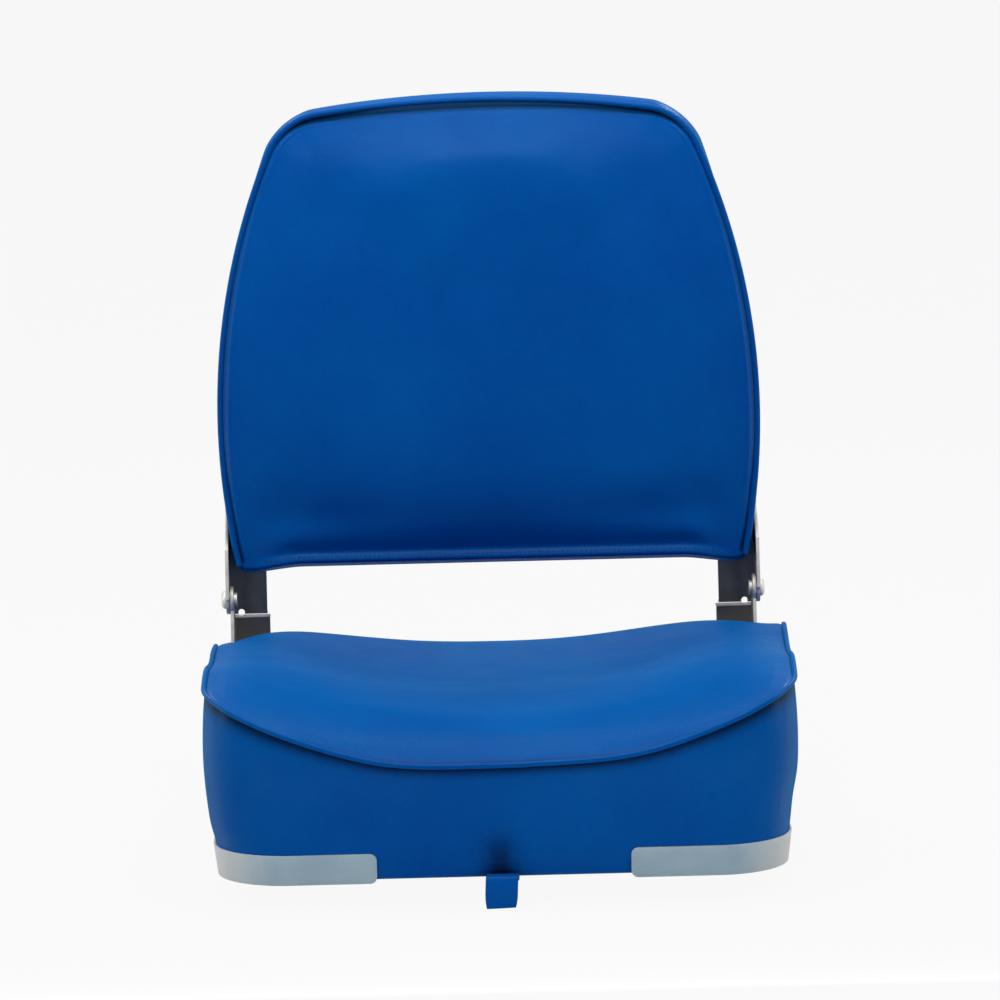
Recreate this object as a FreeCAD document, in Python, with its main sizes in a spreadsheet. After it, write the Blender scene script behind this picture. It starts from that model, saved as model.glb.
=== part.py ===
import FreeCAD, Part
import math
import os
import re
import Sketcher
from FreeCAD import Placement, Rotation, Vector

# Boat seat with a folding backrest, in millimetres. The underside of the seat board is the plane z = 0,
# the seat faces -Y, and the origin is the middle of the pedestal bolt pattern.

doc = FreeCAD.newDocument("BoatSeat")
sheet = doc.addObject("Spreadsheet::Sheet", "Sizes")

seat_sizes = {
    "seat_width": 420,          # over the boxing at its widest
    "seat_front": 209,          # bolt pattern to front face
    "seat_rear": 200,           # bolt pattern to rear face
    "front_corner": 58,         # plan radius of the front corners
    "rear_corner": 14,
    "side_draw": 7.5,           # how far the sides draw in at the board
    "seam_front": 77,           # middle of the front seam above the board's underside
    "crown_front": 89,
    "crown_middle": 96,
    "crown_rear": 100,
    "rear_drop": 14,            # roll of the top down to the rear face
    "dish_front": 390,          # radius of the dish across the seat
    "dish_middle": 480,
    "dish_rear": 498,
    "dish_front_half": 150,     # half width of the dish
    "dish_middle_half": 105,
    "dish_rear_half": 90,
    "bolster_front": 600,       # radius of the bolsters beside the dish
    "bolster_middle": 450,
    "bolster_rear": 300,
    "board_thick": 12,
    "vinyl": 1.2,
    "welt_radius": 2.4,
    "hem_width": 22,
    "cover_gap": 0.3,
}
hinge_sizes = {
    "pivot_back": 180,          # bolt pattern to pivot
    "pivot_up": 137,
    "lean": 10,                 # backrest lean in degrees
    "plate": 2.5,
    "arm_outer": 205,           # middle of seat to outer face of the arm
    "arm_inner": 174.5,           # middle of seat to inner edge of the arm's web
    "arm_high": 150,            # pivot to top of the arm
    "arm_back": 24,             # pivot to front face of the arm's web
    "arm_reach": 13,            # pivot to front edge of the arm's side
    "stop_down": 11,            # pivot to lower edge of the arm
    "stop_gap": 0.4,            # play at the stop
    "lip": 12,                  # depth of the stop lips
    "web_ahead": 2.3,           # lower web ahead of the arm's web
    "web_short": 6,             # stop lip to top of the lower web
    "flange_full": 14,          # backrest's lower edge to where the arm's side starts to taper
    "flange_half": 34,
    "flange_end": 56,
    "ear_radius": 10.5,
    "washer_gap": 0.6,
    "rivet_shank": 4,
    "rivet_head": 7,
    "rivet_rise": 3.5,
    "running": 0.05,            # radial clearance on the rivets
    "foot_long": 62,
    "foot_bolt_near": 22,       # rear face to the bolts in each foot
    "foot_bolt_far": 50,
    "foot_bolt_side": 184,
    "relief": 2.6,              # radius of the bend reliefs
    "relief_in": 10.5,          # arm's outer face to the bend reliefs
    "relief_up": 1.2,           # stop joint to the arm's bend relief
    "relief_down": 14,          # pivot to the lower bracket's bend relief
    "bolt_radius": 3,
    "bolt_head": 6.5,
    "bolt_head_high": 3.6,
}
back_sizes = {
    "back_width": 414.6,
    "back_high": 357,
    "back_bottom": 24,          # pivot to lower edge
    "back_widest": 115,         # lower edge to widest point
    "back_side_arc": 520,
    "back_corner": 49,
    "back_top_arc": 930,
    "back_foot_corner": 8,
    "back_seam": 34,            # rear face to the welted seam
    "back_crown": 55,           # rear face to the front of the crown
    "back_roll": 27,            # inset of the roll round the front
    "back_arch": 1400,          # radius of the crown from side to side
    "back_board_thick": 10,
    "arm_bolt_low": 58,         # pivot to the three bolts in each arm
    "arm_bolt_step": 36,
    "arm_bolt_side": 187,
    "recess_up": 58,            # lower edge to the top of the side recess for the arms
    "recess_end": 78,           # lower edge to where the recess has run out
}
fitting_sizes = {
    "bolt_square": 127,         # pedestal bolt pattern
    "nut_bore": 3.2,
    "nut_barrel": 4.5,
    "nut_flange": 11,
    "nut_plate": 1.5,
    "guard_wall": 1.5,
    "guard_up": 19,
    "guard_front": 90,          # middle of seat to the guard's inner end
    "guard_side": 98,           # bolt pattern to the guard's rear end
    "guard_flange": 15,
    "guard_round": 5,
    "guard_screw_in": 14,       # guard's ends to its screws
    "strap_wide": 23,
    "strap_thick": 2.4,
    "strap_start": 148,         # bolt pattern to the strap's fixed end
    "strap_screw_at": 160,
    "strap_drop": 19,           # free end below the board
    "strap_lie": 12,            # hem to where the strap starts to step over it
    "strap_step": 2,            # hem to where it has stepped over it
    "strap_under": 3,           # front edge to the upward bend
    "strap_rise": 10,           # front edge to the rising bend
    "strap_fold": 18,           # front edge to the falling bend
    "strap_tip": 20,            # front edge to the free end
    "strap_bend": 5,
    "strap_easy_bend": 6,
    "screw_radius": 1.75,
    "screw_head": 3.6,
    "screw_head_high": 1.8,
    "screw_long": 9,
}
sizes = {**seat_sizes, **hinge_sizes, **back_sizes, **fitting_sizes}
for row, (name, number) in enumerate(sizes.items(), 1):
    sheet.set(f"A{row}", name)
    sheet.set(f"B{row}", str(number))
    sheet.setAlias(f"B{row}", name)
doc.recompute()

sides = (("left", -1), ("right", 1))
exports = []


def size(name):
    return float(sheet.get(name))


def bound(text):
    return re.sub(r"[a-z]\w*", lambda word: "Sizes." + word.group(0), text)


# Sketched solids

def new_body(label):
    return doc.addObject("PartDesign::Body", label)


def new_sketch(body, role, offset=None, lean=False):
    sketch = body.newObject("Sketcher::SketchObject", "Sketch")
    plane = [item for item in body.Origin.OriginFeatures if item.Role == role][0]
    sketch.AttachmentSupport = [(plane, "")]
    sketch.MapMode = "FlatFace"
    if lean:
        sketch.AttachmentOffset = Placement(Vector(), Rotation(Vector(0, 0, 1), -1))
        sketch.setExpression("AttachmentOffset.Base.x", "Sizes.pivot_back")
        sketch.setExpression("AttachmentOffset.Base.y", "Sizes.pivot_up")
        sketch.setExpression("AttachmentOffset.Rotation.Angle", "-Sizes.lean")
    if offset:
        sketch.setExpression("AttachmentOffset.Base.z", bound(offset))
    return sketch


def bind_point(sketch, geometry, point, name, across, up):
    for kind, text, letter in (("DistanceX", across, "x"), ("DistanceY", up, "y")):
        index = sketch.addConstraint(Sketcher.Constraint(kind, -1, 1, geometry, point, 1.0))
        sketch.renameConstraint(index, name + letter)
        sketch.setExpression("Constraints." + name + letter, bound(text))


def add_outline(sketch, points):
    count = len(points)
    first = sketch.GeometryCount
    ring = [Vector(math.cos(6.283 * k / count), math.sin(6.283 * k / count), 0) for k in range(count)]
    for k in range(count):
        sketch.addGeometry(Part.LineSegment(ring[k], ring[(k + 1) % count]))
    for k in range(count):
        sketch.addConstraint(Sketcher.Constraint("Coincident", first + k, 2, first + (k + 1) % count, 1))
    for k, (across, up) in enumerate(points):
        bind_point(sketch, first + k, 1, f"p{first + k}", across, up)


def add_circle(sketch, across, up, radius):
    index = sketch.addGeometry(Part.Circle(Vector(), Vector(0, 0, 1), 1.0))
    bind_point(sketch, index, 3, f"c{index}", across, up)
    ring = sketch.addConstraint(Sketcher.Constraint("Radius", index, 1.0))
    sketch.renameConstraint(ring, f"r{index}")
    sketch.setExpression(f"Constraints.r{index}", bound(radius))


def pad(body, sketch, length, backward=False):
    feature = body.newObject("PartDesign::Pad", "Pad")
    feature.Profile = sketch
    feature.Reversed = backward
    feature.setExpression("Length", bound(length))
    doc.recompute()
    return feature


def pocket(body, sketch):
    before = body.Shape.Volume
    feature = body.newObject("PartDesign::Pocket", "Pocket")
    feature.Profile = sketch
    feature.Type = "ThroughAll"
    feature.Midplane = True
    doc.recompute()
    if body.Shape.Volume > before - 1:
        raise RuntimeError(f"{body.Label}: pocket removes nothing")
    return feature


def turn(body, sketch, axis):
    feature = body.newObject("PartDesign::Revolution", "Turn")
    feature.Profile = sketch
    feature.ReferenceAxis = (sketch, [axis])
    feature.Angle = 360
    doc.recompute()
    return feature


def round_edges(body, radius, wanted):
    last = body.Tip
    names = [f"Edge{k}" for k, edge in enumerate(last.Shape.Edges, 1) if wanted(edge)]
    feature = body.newObject("PartDesign::Fillet", "Round")
    feature.Base = (last, names)
    feature.setExpression("Radius", bound(radius))
    doc.recompute()
    return feature


def place_on_back(item):
    item.Placement = Placement(Vector(), Rotation(Vector(1, 0, 0), -1))
    item.setExpression("Placement.Base.y", "Sizes.pivot_back")
    item.setExpression("Placement.Base.z", "Sizes.pivot_up")
    item.setExpression("Placement.Rotation.Angle", "-Sizes.lean")


def keep(item, on_back=False):
    if on_back:
        place_on_back(item)
    exports.append(item)
    return item


def keep_shape(label, shape, on_back=False):
    item = doc.addObject("Part::Feature", label)
    item.Shape = shape
    return keep(item, on_back)


def keep_group(label, master, spots, on_back=False):
    links = []
    for across, along, up in spots:
        link = doc.addObject("App::Link", label + "_each")
        link.LinkedObject = master
        link.LinkTransform = True
        for axis, text in (("x", across), ("y", along), ("z", up)):
            link.setExpression("Placement.Base." + axis, bound(text))
        links.append(link)
    group = doc.addObject("Part::Compound", label)
    group.Links = links
    return keep(group, on_back)


# Outlines, lofts and pipes

def arc(start, middle, end):
    return Part.Arc(start, middle, end).toShape()


def rounded_outline(corners, place):
    spans = []
    count = len(corners)
    for k, (across, along, radius) in enumerate(corners):
        here = Vector(across, along, 0)
        before = (Vector(*corners[k - 1][:2], 0) - here).normalize()
        after = (Vector(*corners[(k + 1) % count][:2], 0) - here).normalize()
        half = before.getAngle(after) / 2
        reach = radius / math.tan(half)
        middle = here + (before + after).normalize() * (radius / math.sin(half) - radius)
        spans.append((here + before * reach, middle, here + after * reach))
    edges = []
    for k, (start, middle, end) in enumerate(spans):
        edges.append(arc(place(start), place(middle), place(end)))
        edges.append(Part.makeLine(place(end), place(spans[(k + 1) % count][0])))
    return Part.Wire(edges)


def biarc(start, start_way, end, end_way):
    chord = end - start
    total = start_way + end_way
    bend = 2 * (1 - start_way.dot(end_way))
    if bend < 1e-9:
        return [Part.makeLine(start, end)]
    reach = (math.sqrt(chord.dot(total) ** 2 + bend * chord.dot(chord)) - chord.dot(total)) / bend
    join = (start + end + (start_way - end_way) * reach) * 0.5
    edges = []
    for foot, way, tip in ((start, start_way, join), (end, end_way * -1, join)):
        step = tip - foot
        normal = step - way * step.dot(way)
        if normal.Length < 1e-6:
            edges.append(Part.makeLine(foot, tip))
            continue
        normal.normalize()
        radius = step.dot(step) / (2 * step.dot(normal))
        centre = foot + normal * radius
        middle = centre + ((foot + tip) * 0.5 - centre).normalize() * radius
        edges.append(arc(foot, middle, tip))
    return edges


def pipe(wire, radius):
    edge = wire.OrderedEdges[0]
    start = edge.firstVertex(True).Point
    way = edge.tangentAt(edge.FirstParameter)
    shell = Part.BRepOffsetAPI.MakePipeShell(wire)
    shell.setTransitionMode(1)
    shell.add(Part.Wire([Part.makeCircle(radius, start, way)]))
    shell.build()
    shell.makeSolid()
    return shell.shape()


def block(low, high):
    span = Vector(*high) - Vector(*low)
    return Part.makeBox(span.x, span.y, span.z, Vector(*low))


def prism(points, way):
    ring = [Vector(*point) for point in points]
    return Part.Face(Part.makePolygon(ring + ring[:1])).extrude(Vector(*way))


def both(shape):
    return shape.fuse(shape.mirror(Vector(), Vector(1, 0, 0)))


def joined(first, *others):
    return first.fuse(list(others)).removeSplitter()


def pegs(spots, radius, low, high):
    return Part.makeCompound([Part.makeCylinder(radius, high - low, Vector(x, y, low)) for x, y in spots])


# Seat cushion forms

vinyl = size("vinyl")
half_width = size("seat_width") / 2
front = -size("seat_front")
rear = size("seat_rear")
deep = rear - front
tall = 180


def plan_wire(level, inset, skin):
    half = half_width - inset - skin
    near = front + inset + skin
    far = rear - skin
    front_radius = size("front_corner") - inset - skin
    rear_radius = size("rear_corner") - skin
    corners = [(-half, near, front_radius), (half, near, front_radius)]
    corners += [(half, far, rear_radius), (-half, far, rear_radius)]
    return rounded_outline(corners, lambda point: Vector(point.x, point.y, level))


def cushion_sides(skin):
    draw = size("side_draw")
    seam = size("seam_front")
    levels = [(-20, draw * 1.35), (seam * 0.35, draw * 0.55), (seam * 1.15, 0), (tall, draw * 0.3)]
    return Part.makeLoft([plan_wire(level, inset, skin) for level, inset in levels], True, False)


def blended(name, share):
    ends = ("front", "middle") if share < 0.5 else ("middle", "rear")
    near, far = (size(name.format(end)) for end in ends)
    part = (share * 2) ** 0.6 if share < 0.5 else min(share * 2 - 1, 1)
    return near + (far - near) * part


def crown_wire(share, height):
    dish = blended("dish_{}", max(share, 0))
    half = blended("dish_{}_half", max(share, 0))
    bolster = blended("bolster_{}", max(share, 0))
    along = front + deep * share
    edge = half_width + 8
    slope = math.asin(half / dish)
    side_z = height + dish * (1 - math.cos(slope))
    centre = (half + bolster * math.sin(slope), side_z - bolster * math.cos(slope))

    def bolster_point(across, sign):
        up = centre[1] + math.sqrt(bolster ** 2 - (across - centre[0]) ** 2)
        return Vector(sign * across, along, up)

    halfway = (half + edge) / 2
    left, right = Vector(-half, along, side_z), Vector(half, along, side_z)
    outer = [bolster_point(edge, sign) for sign in (-1, 1)]
    feet = [Vector(sign * edge, along, -30) for sign in (-1, 1)]
    edges = [Part.makeLine(feet[0], outer[0])]
    edges.append(arc(outer[0], bolster_point(halfway, -1), left))
    edges.append(arc(left, Vector(0, along, height), right))
    edges.append(arc(right, bolster_point(halfway, 1), outer[1]))
    edges.append(Part.makeLine(outer[1], feet[1]))
    edges.append(Part.makeLine(feet[1], feet[0]))
    return Part.Wire(edges)


def seat_crown(skin):
    heights = [(-0.02, size("seam_front") - 5), (0.11, size("crown_front")), (0.5, size("crown_middle"))]
    heights += [(0.88, size("crown_rear")), (0.96, size("crown_rear") - size("rear_drop") * 0.1)]
    heights += [(1.03, size("crown_rear") - size("rear_drop"))]
    return Part.makeLoft([crown_wire(share, height - skin) for share, height in heights], True, False)


sides_out = cushion_sides(0)
sides_in = cushion_sides(vinyl)
crown_out = seat_crown(0)
crown_in = seat_crown(vinyl)
board_top = size("board_thick")
above_board = block((-300, -300, board_top), (300, 300, tall))
above_base = block((-300, -300, 0), (300, 300, tall))
outer_form = sides_out.common(crown_out).common(above_base)
inner_form = sides_in.common(crown_in)

# Places of the fasteners in the seat board

half_square = size("bolt_square") / 2
pedestal_spots = [(x, y) for x in (-half_square, half_square) for y in (-half_square, half_square)]
foot_rows = [rear - size("foot_bolt_near"), rear - size("foot_bolt_far")]
foot_spots = [(sign * size("foot_bolt_side"), row) for _, sign in sides for row in foot_rows]
draw_bottom = size("side_draw") * 1.1
flange_line = draw_bottom + size("guard_flange") * 0.55
screw_in = size("guard_screw_in")
guard_front_spot = (size("guard_front") + screw_in, front + flange_line)
guard_side_spot = (half_width - flange_line, -size("guard_side") - screw_in)
guard_spots = [(sign * x, y) for _, sign in sides for x, y in (guard_front_spot, guard_side_spot)]
strap_spot = (0, -size("strap_screw_at"))

# Seat base board

board = new_body("seat_base_board")
outline = new_sketch(board, "XY_Plane")
half_board = "seat_width / 2 - side_draw * 1.1 - vinyl - cover_gap"
near_board = "-seat_front + side_draw * 1.1 + vinyl + cover_gap"
far_board = "seat_rear - vinyl - cover_gap"
add_outline(outline, [(f"-({half_board})", near_board), (half_board, near_board),
                      (half_board, far_board), (f"-({half_board})", far_board)])
pad(board, outline, "board_thick")
round_edges(board, "front_corner - side_draw",
            lambda edge: edge.BoundBox.ZLength > 5 and edge.BoundBox.YMax < 0)
round_edges(board, "rear_corner",
            lambda edge: edge.BoundBox.ZLength > 5 and edge.BoundBox.YMin > 0)
holes = new_sketch(board, "XY_Plane")
for sign_x in ("-", ""):
    for sign_y in ("-", ""):
        add_circle(holes, f"{sign_x}bolt_square / 2", f"{sign_y}bolt_square / 2", "nut_barrel + running")
    for row in ("foot_bolt_near", "foot_bolt_far"):
        add_circle(holes, f"{sign_x}foot_bolt_side", f"seat_rear - {row}", "nut_barrel + running")
    add_circle(holes, f"{sign_x}(guard_front + guard_screw_in)",
               "-seat_front + side_draw * 1.1 + guard_flange * 0.55", "screw_radius")
    add_circle(holes, f"{sign_x}(seat_width / 2 - side_draw * 1.1 - guard_flange * 0.55)",
               "-guard_side - guard_screw_in", "screw_radius")
add_circle(holes, "0", "-strap_screw_at", "screw_radius")
pocket(board, holes)
keep(board)

# Lower hinge brackets: foot, web, stop lip, side gusset and ear

ear_in = "(arm_outer - plate * 2 - washer_gap)"
web_front = "(pivot_back + arm_back - web_ahead)"
for side, sign in sides:
    bracket = new_body("hinge_base_" + side)
    strip = new_sketch(bracket, "YZ_Plane", f"{sign} * (arm_inner - 2)")
    foot_front = "seat_rear - foot_long"
    web_top = "pivot_up - stop_down - stop_gap - web_short"
    add_outline(strip, [(foot_front, "-plate"), (f"{web_front} + plate", "-plate"),
                        (f"{web_front} + plate", web_top), (web_front, web_top),
                        (web_front, "0"), (foot_front, "0")])
    pad(bracket, strip, f"{ear_in} + plate - arm_inner + 2", sign < 0)
    lip = new_sketch(bracket, "YZ_Plane", f"{sign} * (arm_inner - 2)", lean=True)
    lip_top = "-stop_down - stop_gap"
    lip_low = "-stop_down - stop_gap - plate"
    add_outline(lip, [("arm_back", lip_low), ("arm_back + lip", lip_low),
                      ("arm_back + lip", lip_top), ("arm_back", lip_top)])
    pad(bracket, lip, f"{ear_in} + plate - arm_inner + 2", sign < 0)
    gusset = new_sketch(bracket, "YZ_Plane", f"{sign} * {ear_in}")
    rim = "ear_radius * 0.707"
    add_outline(gusset, [("seat_rear - foot_long - 3", "board_thick + 2"),
                         (f"{web_front} + plate", "board_thick + 2"),
                         (f"{web_front} + plate", web_top + " - 3"),
                         (f"pivot_back + {rim}", f"pivot_up + {rim}"),
                         (f"pivot_back - {rim}", f"pivot_up - {rim}")])
    pad(bracket, gusset, "plate", sign < 0)
    ear = new_sketch(bracket, "YZ_Plane", f"{sign} * {ear_in}")
    add_circle(ear, "pivot_back", "pivot_up", "ear_radius")
    pad(bracket, ear, "plate", sign < 0)
    bore = new_sketch(bracket, "YZ_Plane", f"{sign} * {ear_in}")
    add_circle(bore, "pivot_back", "pivot_up", "rivet_shank + running")
    pocket(bracket, bore)
    bolts = new_sketch(bracket, "XY_Plane")
    for row in ("foot_bolt_near", "foot_bolt_far"):
        add_circle(bolts, f"{sign} * foot_bolt_side", f"seat_rear - {row}", "bolt_radius + running")
    pocket(bracket, bolts)
    relief = new_sketch(bracket, "XZ_Plane")
    add_circle(relief, f"{sign} * (arm_outer - relief_in)", "pivot_up - relief_down", "relief")
    pocket(bracket, relief)
    keep(bracket)

# Upper hinge arms, drawn upright about the pivot

for side, sign in sides:
    arm = new_body("hinge_arm_" + side)
    strip = new_sketch(arm, "YZ_Plane", f"{sign} * arm_inner")
    add_outline(strip, [("arm_back", "-stop_down"), ("arm_back + lip", "-stop_down"),
                        ("arm_back + lip", "plate - stop_down"), ("arm_back + plate", "plate - stop_down"),
                        ("arm_back + plate", "arm_high"), ("arm_back", "arm_high")])
    pad(arm, strip, "arm_outer - arm_inner", sign < 0)
    flange = new_sketch(arm, "YZ_Plane", f"{sign} * (arm_outer - plate)")
    add_outline(flange, [("arm_back + plate", "-stop_down"), ("0", "-stop_down"), ("-arm_reach", "0"),
                         ("-arm_reach", "back_bottom + flange_full"),
                         ("arm_back * 0.4", "back_bottom + flange_half"),
                         ("arm_back", "back_bottom + flange_end"),
                         ("arm_back + plate", "back_bottom + flange_end")])
    pad(arm, flange, "plate", sign < 0)
    nose = new_sketch(arm, "YZ_Plane", f"{sign} * (arm_outer - plate)")
    add_circle(nose, "0", "0", "stop_down")
    pad(arm, nose, "plate", sign < 0)
    bore = new_sketch(arm, "YZ_Plane", f"{sign} * (arm_outer - plate)")
    add_circle(bore, "0", "0", "rivet_shank + running")
    pocket(arm, bore)
    bolts = new_sketch(arm, "XZ_Plane", "-arm_back")
    for step in range(3):
        add_circle(bolts, f"{sign} * arm_bolt_side", f"arm_bolt_low + {step} * arm_bolt_step",
                   "bolt_radius + running")
    pocket(arm, bolts)
    relief = new_sketch(arm, "XZ_Plane", "-arm_back")
    add_circle(relief, f"{sign} * (arm_outer - relief_in)", "relief_up - stop_down", "relief")
    pocket(arm, relief)
    keep(arm, on_back=True)

# Pivot rivets and washers

for side, sign in sides:
    rivet = new_body("pivot_rivet_" + side)
    profile = new_sketch(rivet, "XY_Plane")
    ear_face = f"{ear_in} - running"
    head_face = "arm_outer + running * 2"
    rivet_line = [(f"{ear_face} - plate", "0"), (f"{ear_face} - plate", "rivet_shank * 1.4"),
                  (ear_face, "rivet_shank * 1.4"), (ear_face, "rivet_shank"),
                  (head_face, "rivet_shank"), (head_face, "rivet_head"),
                  (f"{head_face} + rivet_rise", "rivet_head"), (f"{head_face} + rivet_rise", "0")]
    add_outline(profile, [(f"{sign} * ({along})", out) for along, out in rivet_line])
    turn(rivet, profile, "H_Axis")
    far_face = size("arm_outer") + size("rivet_rise")
    round_edges(rivet, "rivet_rise * 0.9",
                lambda edge: abs(edge.BoundBox.XMin) > far_face and edge.BoundBox.ZLength > 10)
    rivet.setExpression("Placement.Base.y", "Sizes.pivot_back")
    rivet.setExpression("Placement.Base.z", "Sizes.pivot_up")
    keep(rivet)

washer = new_body("washer")
ring = new_sketch(washer, "YZ_Plane")
add_circle(ring, "0", "0", "rivet_head + 1")
add_circle(ring, "0", "0", "rivet_shank + running")
pad(washer, ring, "washer_gap - running * 2")
washer_in = "arm_outer - plate - washer_gap + running"
keep_group("pivot_washers", washer, [(f"-({washer_in}) - washer_gap + running * 2", "pivot_back", "pivot_up"),
                                     (washer_in, "pivot_back", "pivot_up")])

# T-nuts, bolts and screws, each turned once and repeated

nut = new_body("t_nut")
profile = new_sketch(nut, "XZ_Plane")
add_outline(profile, [("nut_bore", "0"), ("nut_barrel", "0"), ("nut_barrel", "board_thick"),
                      ("nut_flange", "board_thick"), ("nut_flange", "board_thick + nut_plate"),
                      ("nut_bore", "board_thick + nut_plate")])
turn(nut, profile, "V_Axis")
nut_square = [(f"{sign_x}bolt_square / 2", f"{sign_y}bolt_square / 2", "0")
              for sign_x in ("-", "") for sign_y in ("-", "")]
keep_group("pedestal_t_nuts", nut, nut_square)
foot_places = [(f"{sign} * foot_bolt_side", f"seat_rear - {row}", "0")
               for _, sign in sides for row in ("foot_bolt_near", "foot_bolt_far")]
keep_group("hinge_base_t_nuts", nut, foot_places)

bolt = new_body("foot_bolt")
profile = new_sketch(bolt, "XZ_Plane")
add_outline(profile, [("0", "-plate - bolt_head_high"), ("bolt_head", "-plate - bolt_head_high"),
                      ("bolt_head", "-plate"), ("bolt_radius", "-plate"),
                      ("bolt_radius", "board_thick"), ("0", "board_thick")])
turn(bolt, profile, "V_Axis")
round_edges(bolt, "bolt_head_high * 0.7",
            lambda edge: edge.BoundBox.ZMax < -size("plate") - 1 and edge.BoundBox.XLength > 10)
keep_group("hinge_base_bolts", bolt, foot_places)

screw = new_body("screw")
profile = new_sketch(screw, "XZ_Plane")
add_outline(profile, [("0", "-screw_head_high"), ("screw_head", "-screw_head_high"), ("screw_head", "0"),
                      ("screw_radius", "0"), ("screw_radius", "screw_long"), ("0", "screw_long")])
turn(screw, profile, "V_Axis")
round_edges(screw, "screw_head_high * 0.6",
            lambda edge: edge.BoundBox.ZMax < -1 and edge.BoundBox.XLength > 4)
guard_low = "-vinyl - cover_gap - guard_wall"
guard_places = []
for sign_x in ("-", ""):
    guard_places.append((f"{sign_x}(guard_front + guard_screw_in)",
                         "-seat_front + side_draw * 1.1 + guard_flange * 0.55", guard_low))
    guard_places.append((f"{sign_x}(seat_width / 2 - side_draw * 1.1 - guard_flange * 0.55)",
                         "-guard_side - guard_screw_in", guard_low))
keep_group("guard_screws", screw, guard_places)
keep_group("strap_screw", screw, [("0", "-strap_screw_at", "-strap_thick")])

# Seat foam, cover panels and hem

gusset_line = [(rear + 6, board_top), (rear + 6, tall), (size("pivot_back") - 9, tall)]
gusset_line += [(size("pivot_back") - 9, size("pivot_up") - 7), (rear - size("foot_long") - 5, board_top)]
gusset_in = size("arm_outer") - size("plate") * 2 - size("washer_gap") - 0.6
gusset_side = [(gusset_in, y, z) for y, z in gusset_line]
gusset_room = both(prism(gusset_side, (size("plate") + 1.2, 0, 0)))
side_room = both(prism(gusset_side, (half_width, 0, 0)))
nut_room = pegs(pedestal_spots + foot_spots, size("nut_flange") + 0.4, board_top, board_top + 2.5)
foam = inner_form.common(above_board).cut(side_room).cut(nut_room)
foam = max(foam.Solids, key=lambda solid: solid.Volume)
keep_shape("seat_foam", foam)

shell = outer_form.cut(inner_form)
rear_line = rear - size("rear_corner") - 4
front_zone = block((-300, -300, -50), (300, rear_line, tall))
boxing = shell.common(crown_in).common(front_zone)
top_panel = shell.cut(boxing).cut(gusset_room)
keep_shape("seat_top_panel", max(top_panel.Solids, key=lambda solid: solid.Volume))

hem_zone = block((-300, -300, -vinyl), (300, rear_line, 0))
hem_in = Part.Face(plan_wire(-vinyl - 1, draw_bottom + size("hem_width"), 0)).extrude(Vector(0, 0, vinyl + 2))
foot_zone = both(block((size("arm_inner") - 8, rear - size("foot_long") - 6, -5), (300, rear + 20, 0)))
hem = sides_out.common(hem_zone).cut(hem_in).cut(foot_zone)
hem = hem.cut(block((-300, rear_line - size("hem_width"), -5), (300, 300, 5)))
hem = hem.cut(pegs(guard_spots, size("screw_radius"), -5, 5))
keep_shape("seat_boxing", joined(boxing, hem))

# Seat welt along the top of the boxing

welt = size("welt_radius")


def crown_height(across, along):
    ray = crown_out.common(Part.makeLine(Vector(across, along, 20), Vector(across, along, tall)))
    return ray.BoundBox.ZMax


def seam_point(distance):
    radius = size("front_corner")
    half = half_width
    near = front
    straight = half - radius
    bend = radius * math.pi / 2
    if distance < straight:
        spot = (distance, near)
    elif distance < straight + bend:
        angle = (distance - straight) / radius
        spot = (straight + radius * math.sin(angle), near + radius - radius * math.cos(angle))
    else:
        spot = (half, near + radius + distance - straight - bend)
    return Vector(*spot, crown_height(*spot))


straight_front = half_width - size("front_corner")
corner_run = size("front_corner") * math.pi / 2
side_run = rear_line - front - size("front_corner")
stations = [0, straight_front * 0.5, straight_front]
stations += [straight_front + corner_run * share for share in (0.33, 0.67, 1)]
stations += [straight_front + corner_run + side_run * share for share in (0.25, 0.5, 0.75, 0.99)]
right_line = []
for distance in stations:
    point = seam_point(distance)
    way = seam_point(distance + 1) - seam_point(abs(distance - 1))
    if distance == 0:
        way = Vector(1, 0, 0)
    right_line.append((point, way.normalize()))
left_line = [(Vector(-p.x, p.y, p.z), Vector(w.x, -w.y, -w.z)) for p, w in right_line[:0:-1]]
seam_line = left_line + right_line
welt_edges = []
for (start, start_way), (end, end_way) in zip(seam_line, seam_line[1:]):
    welt_edges += biarc(start, start_way, end, end_way)
seat_welt = pipe(Part.Wire(Part.__sortEdges__(welt_edges)), welt).cut(outer_form)
keep_shape("seat_welt", max(seat_welt.Solids, key=lambda solid: solid.Volume))

# Corner guards round the front corners

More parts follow.
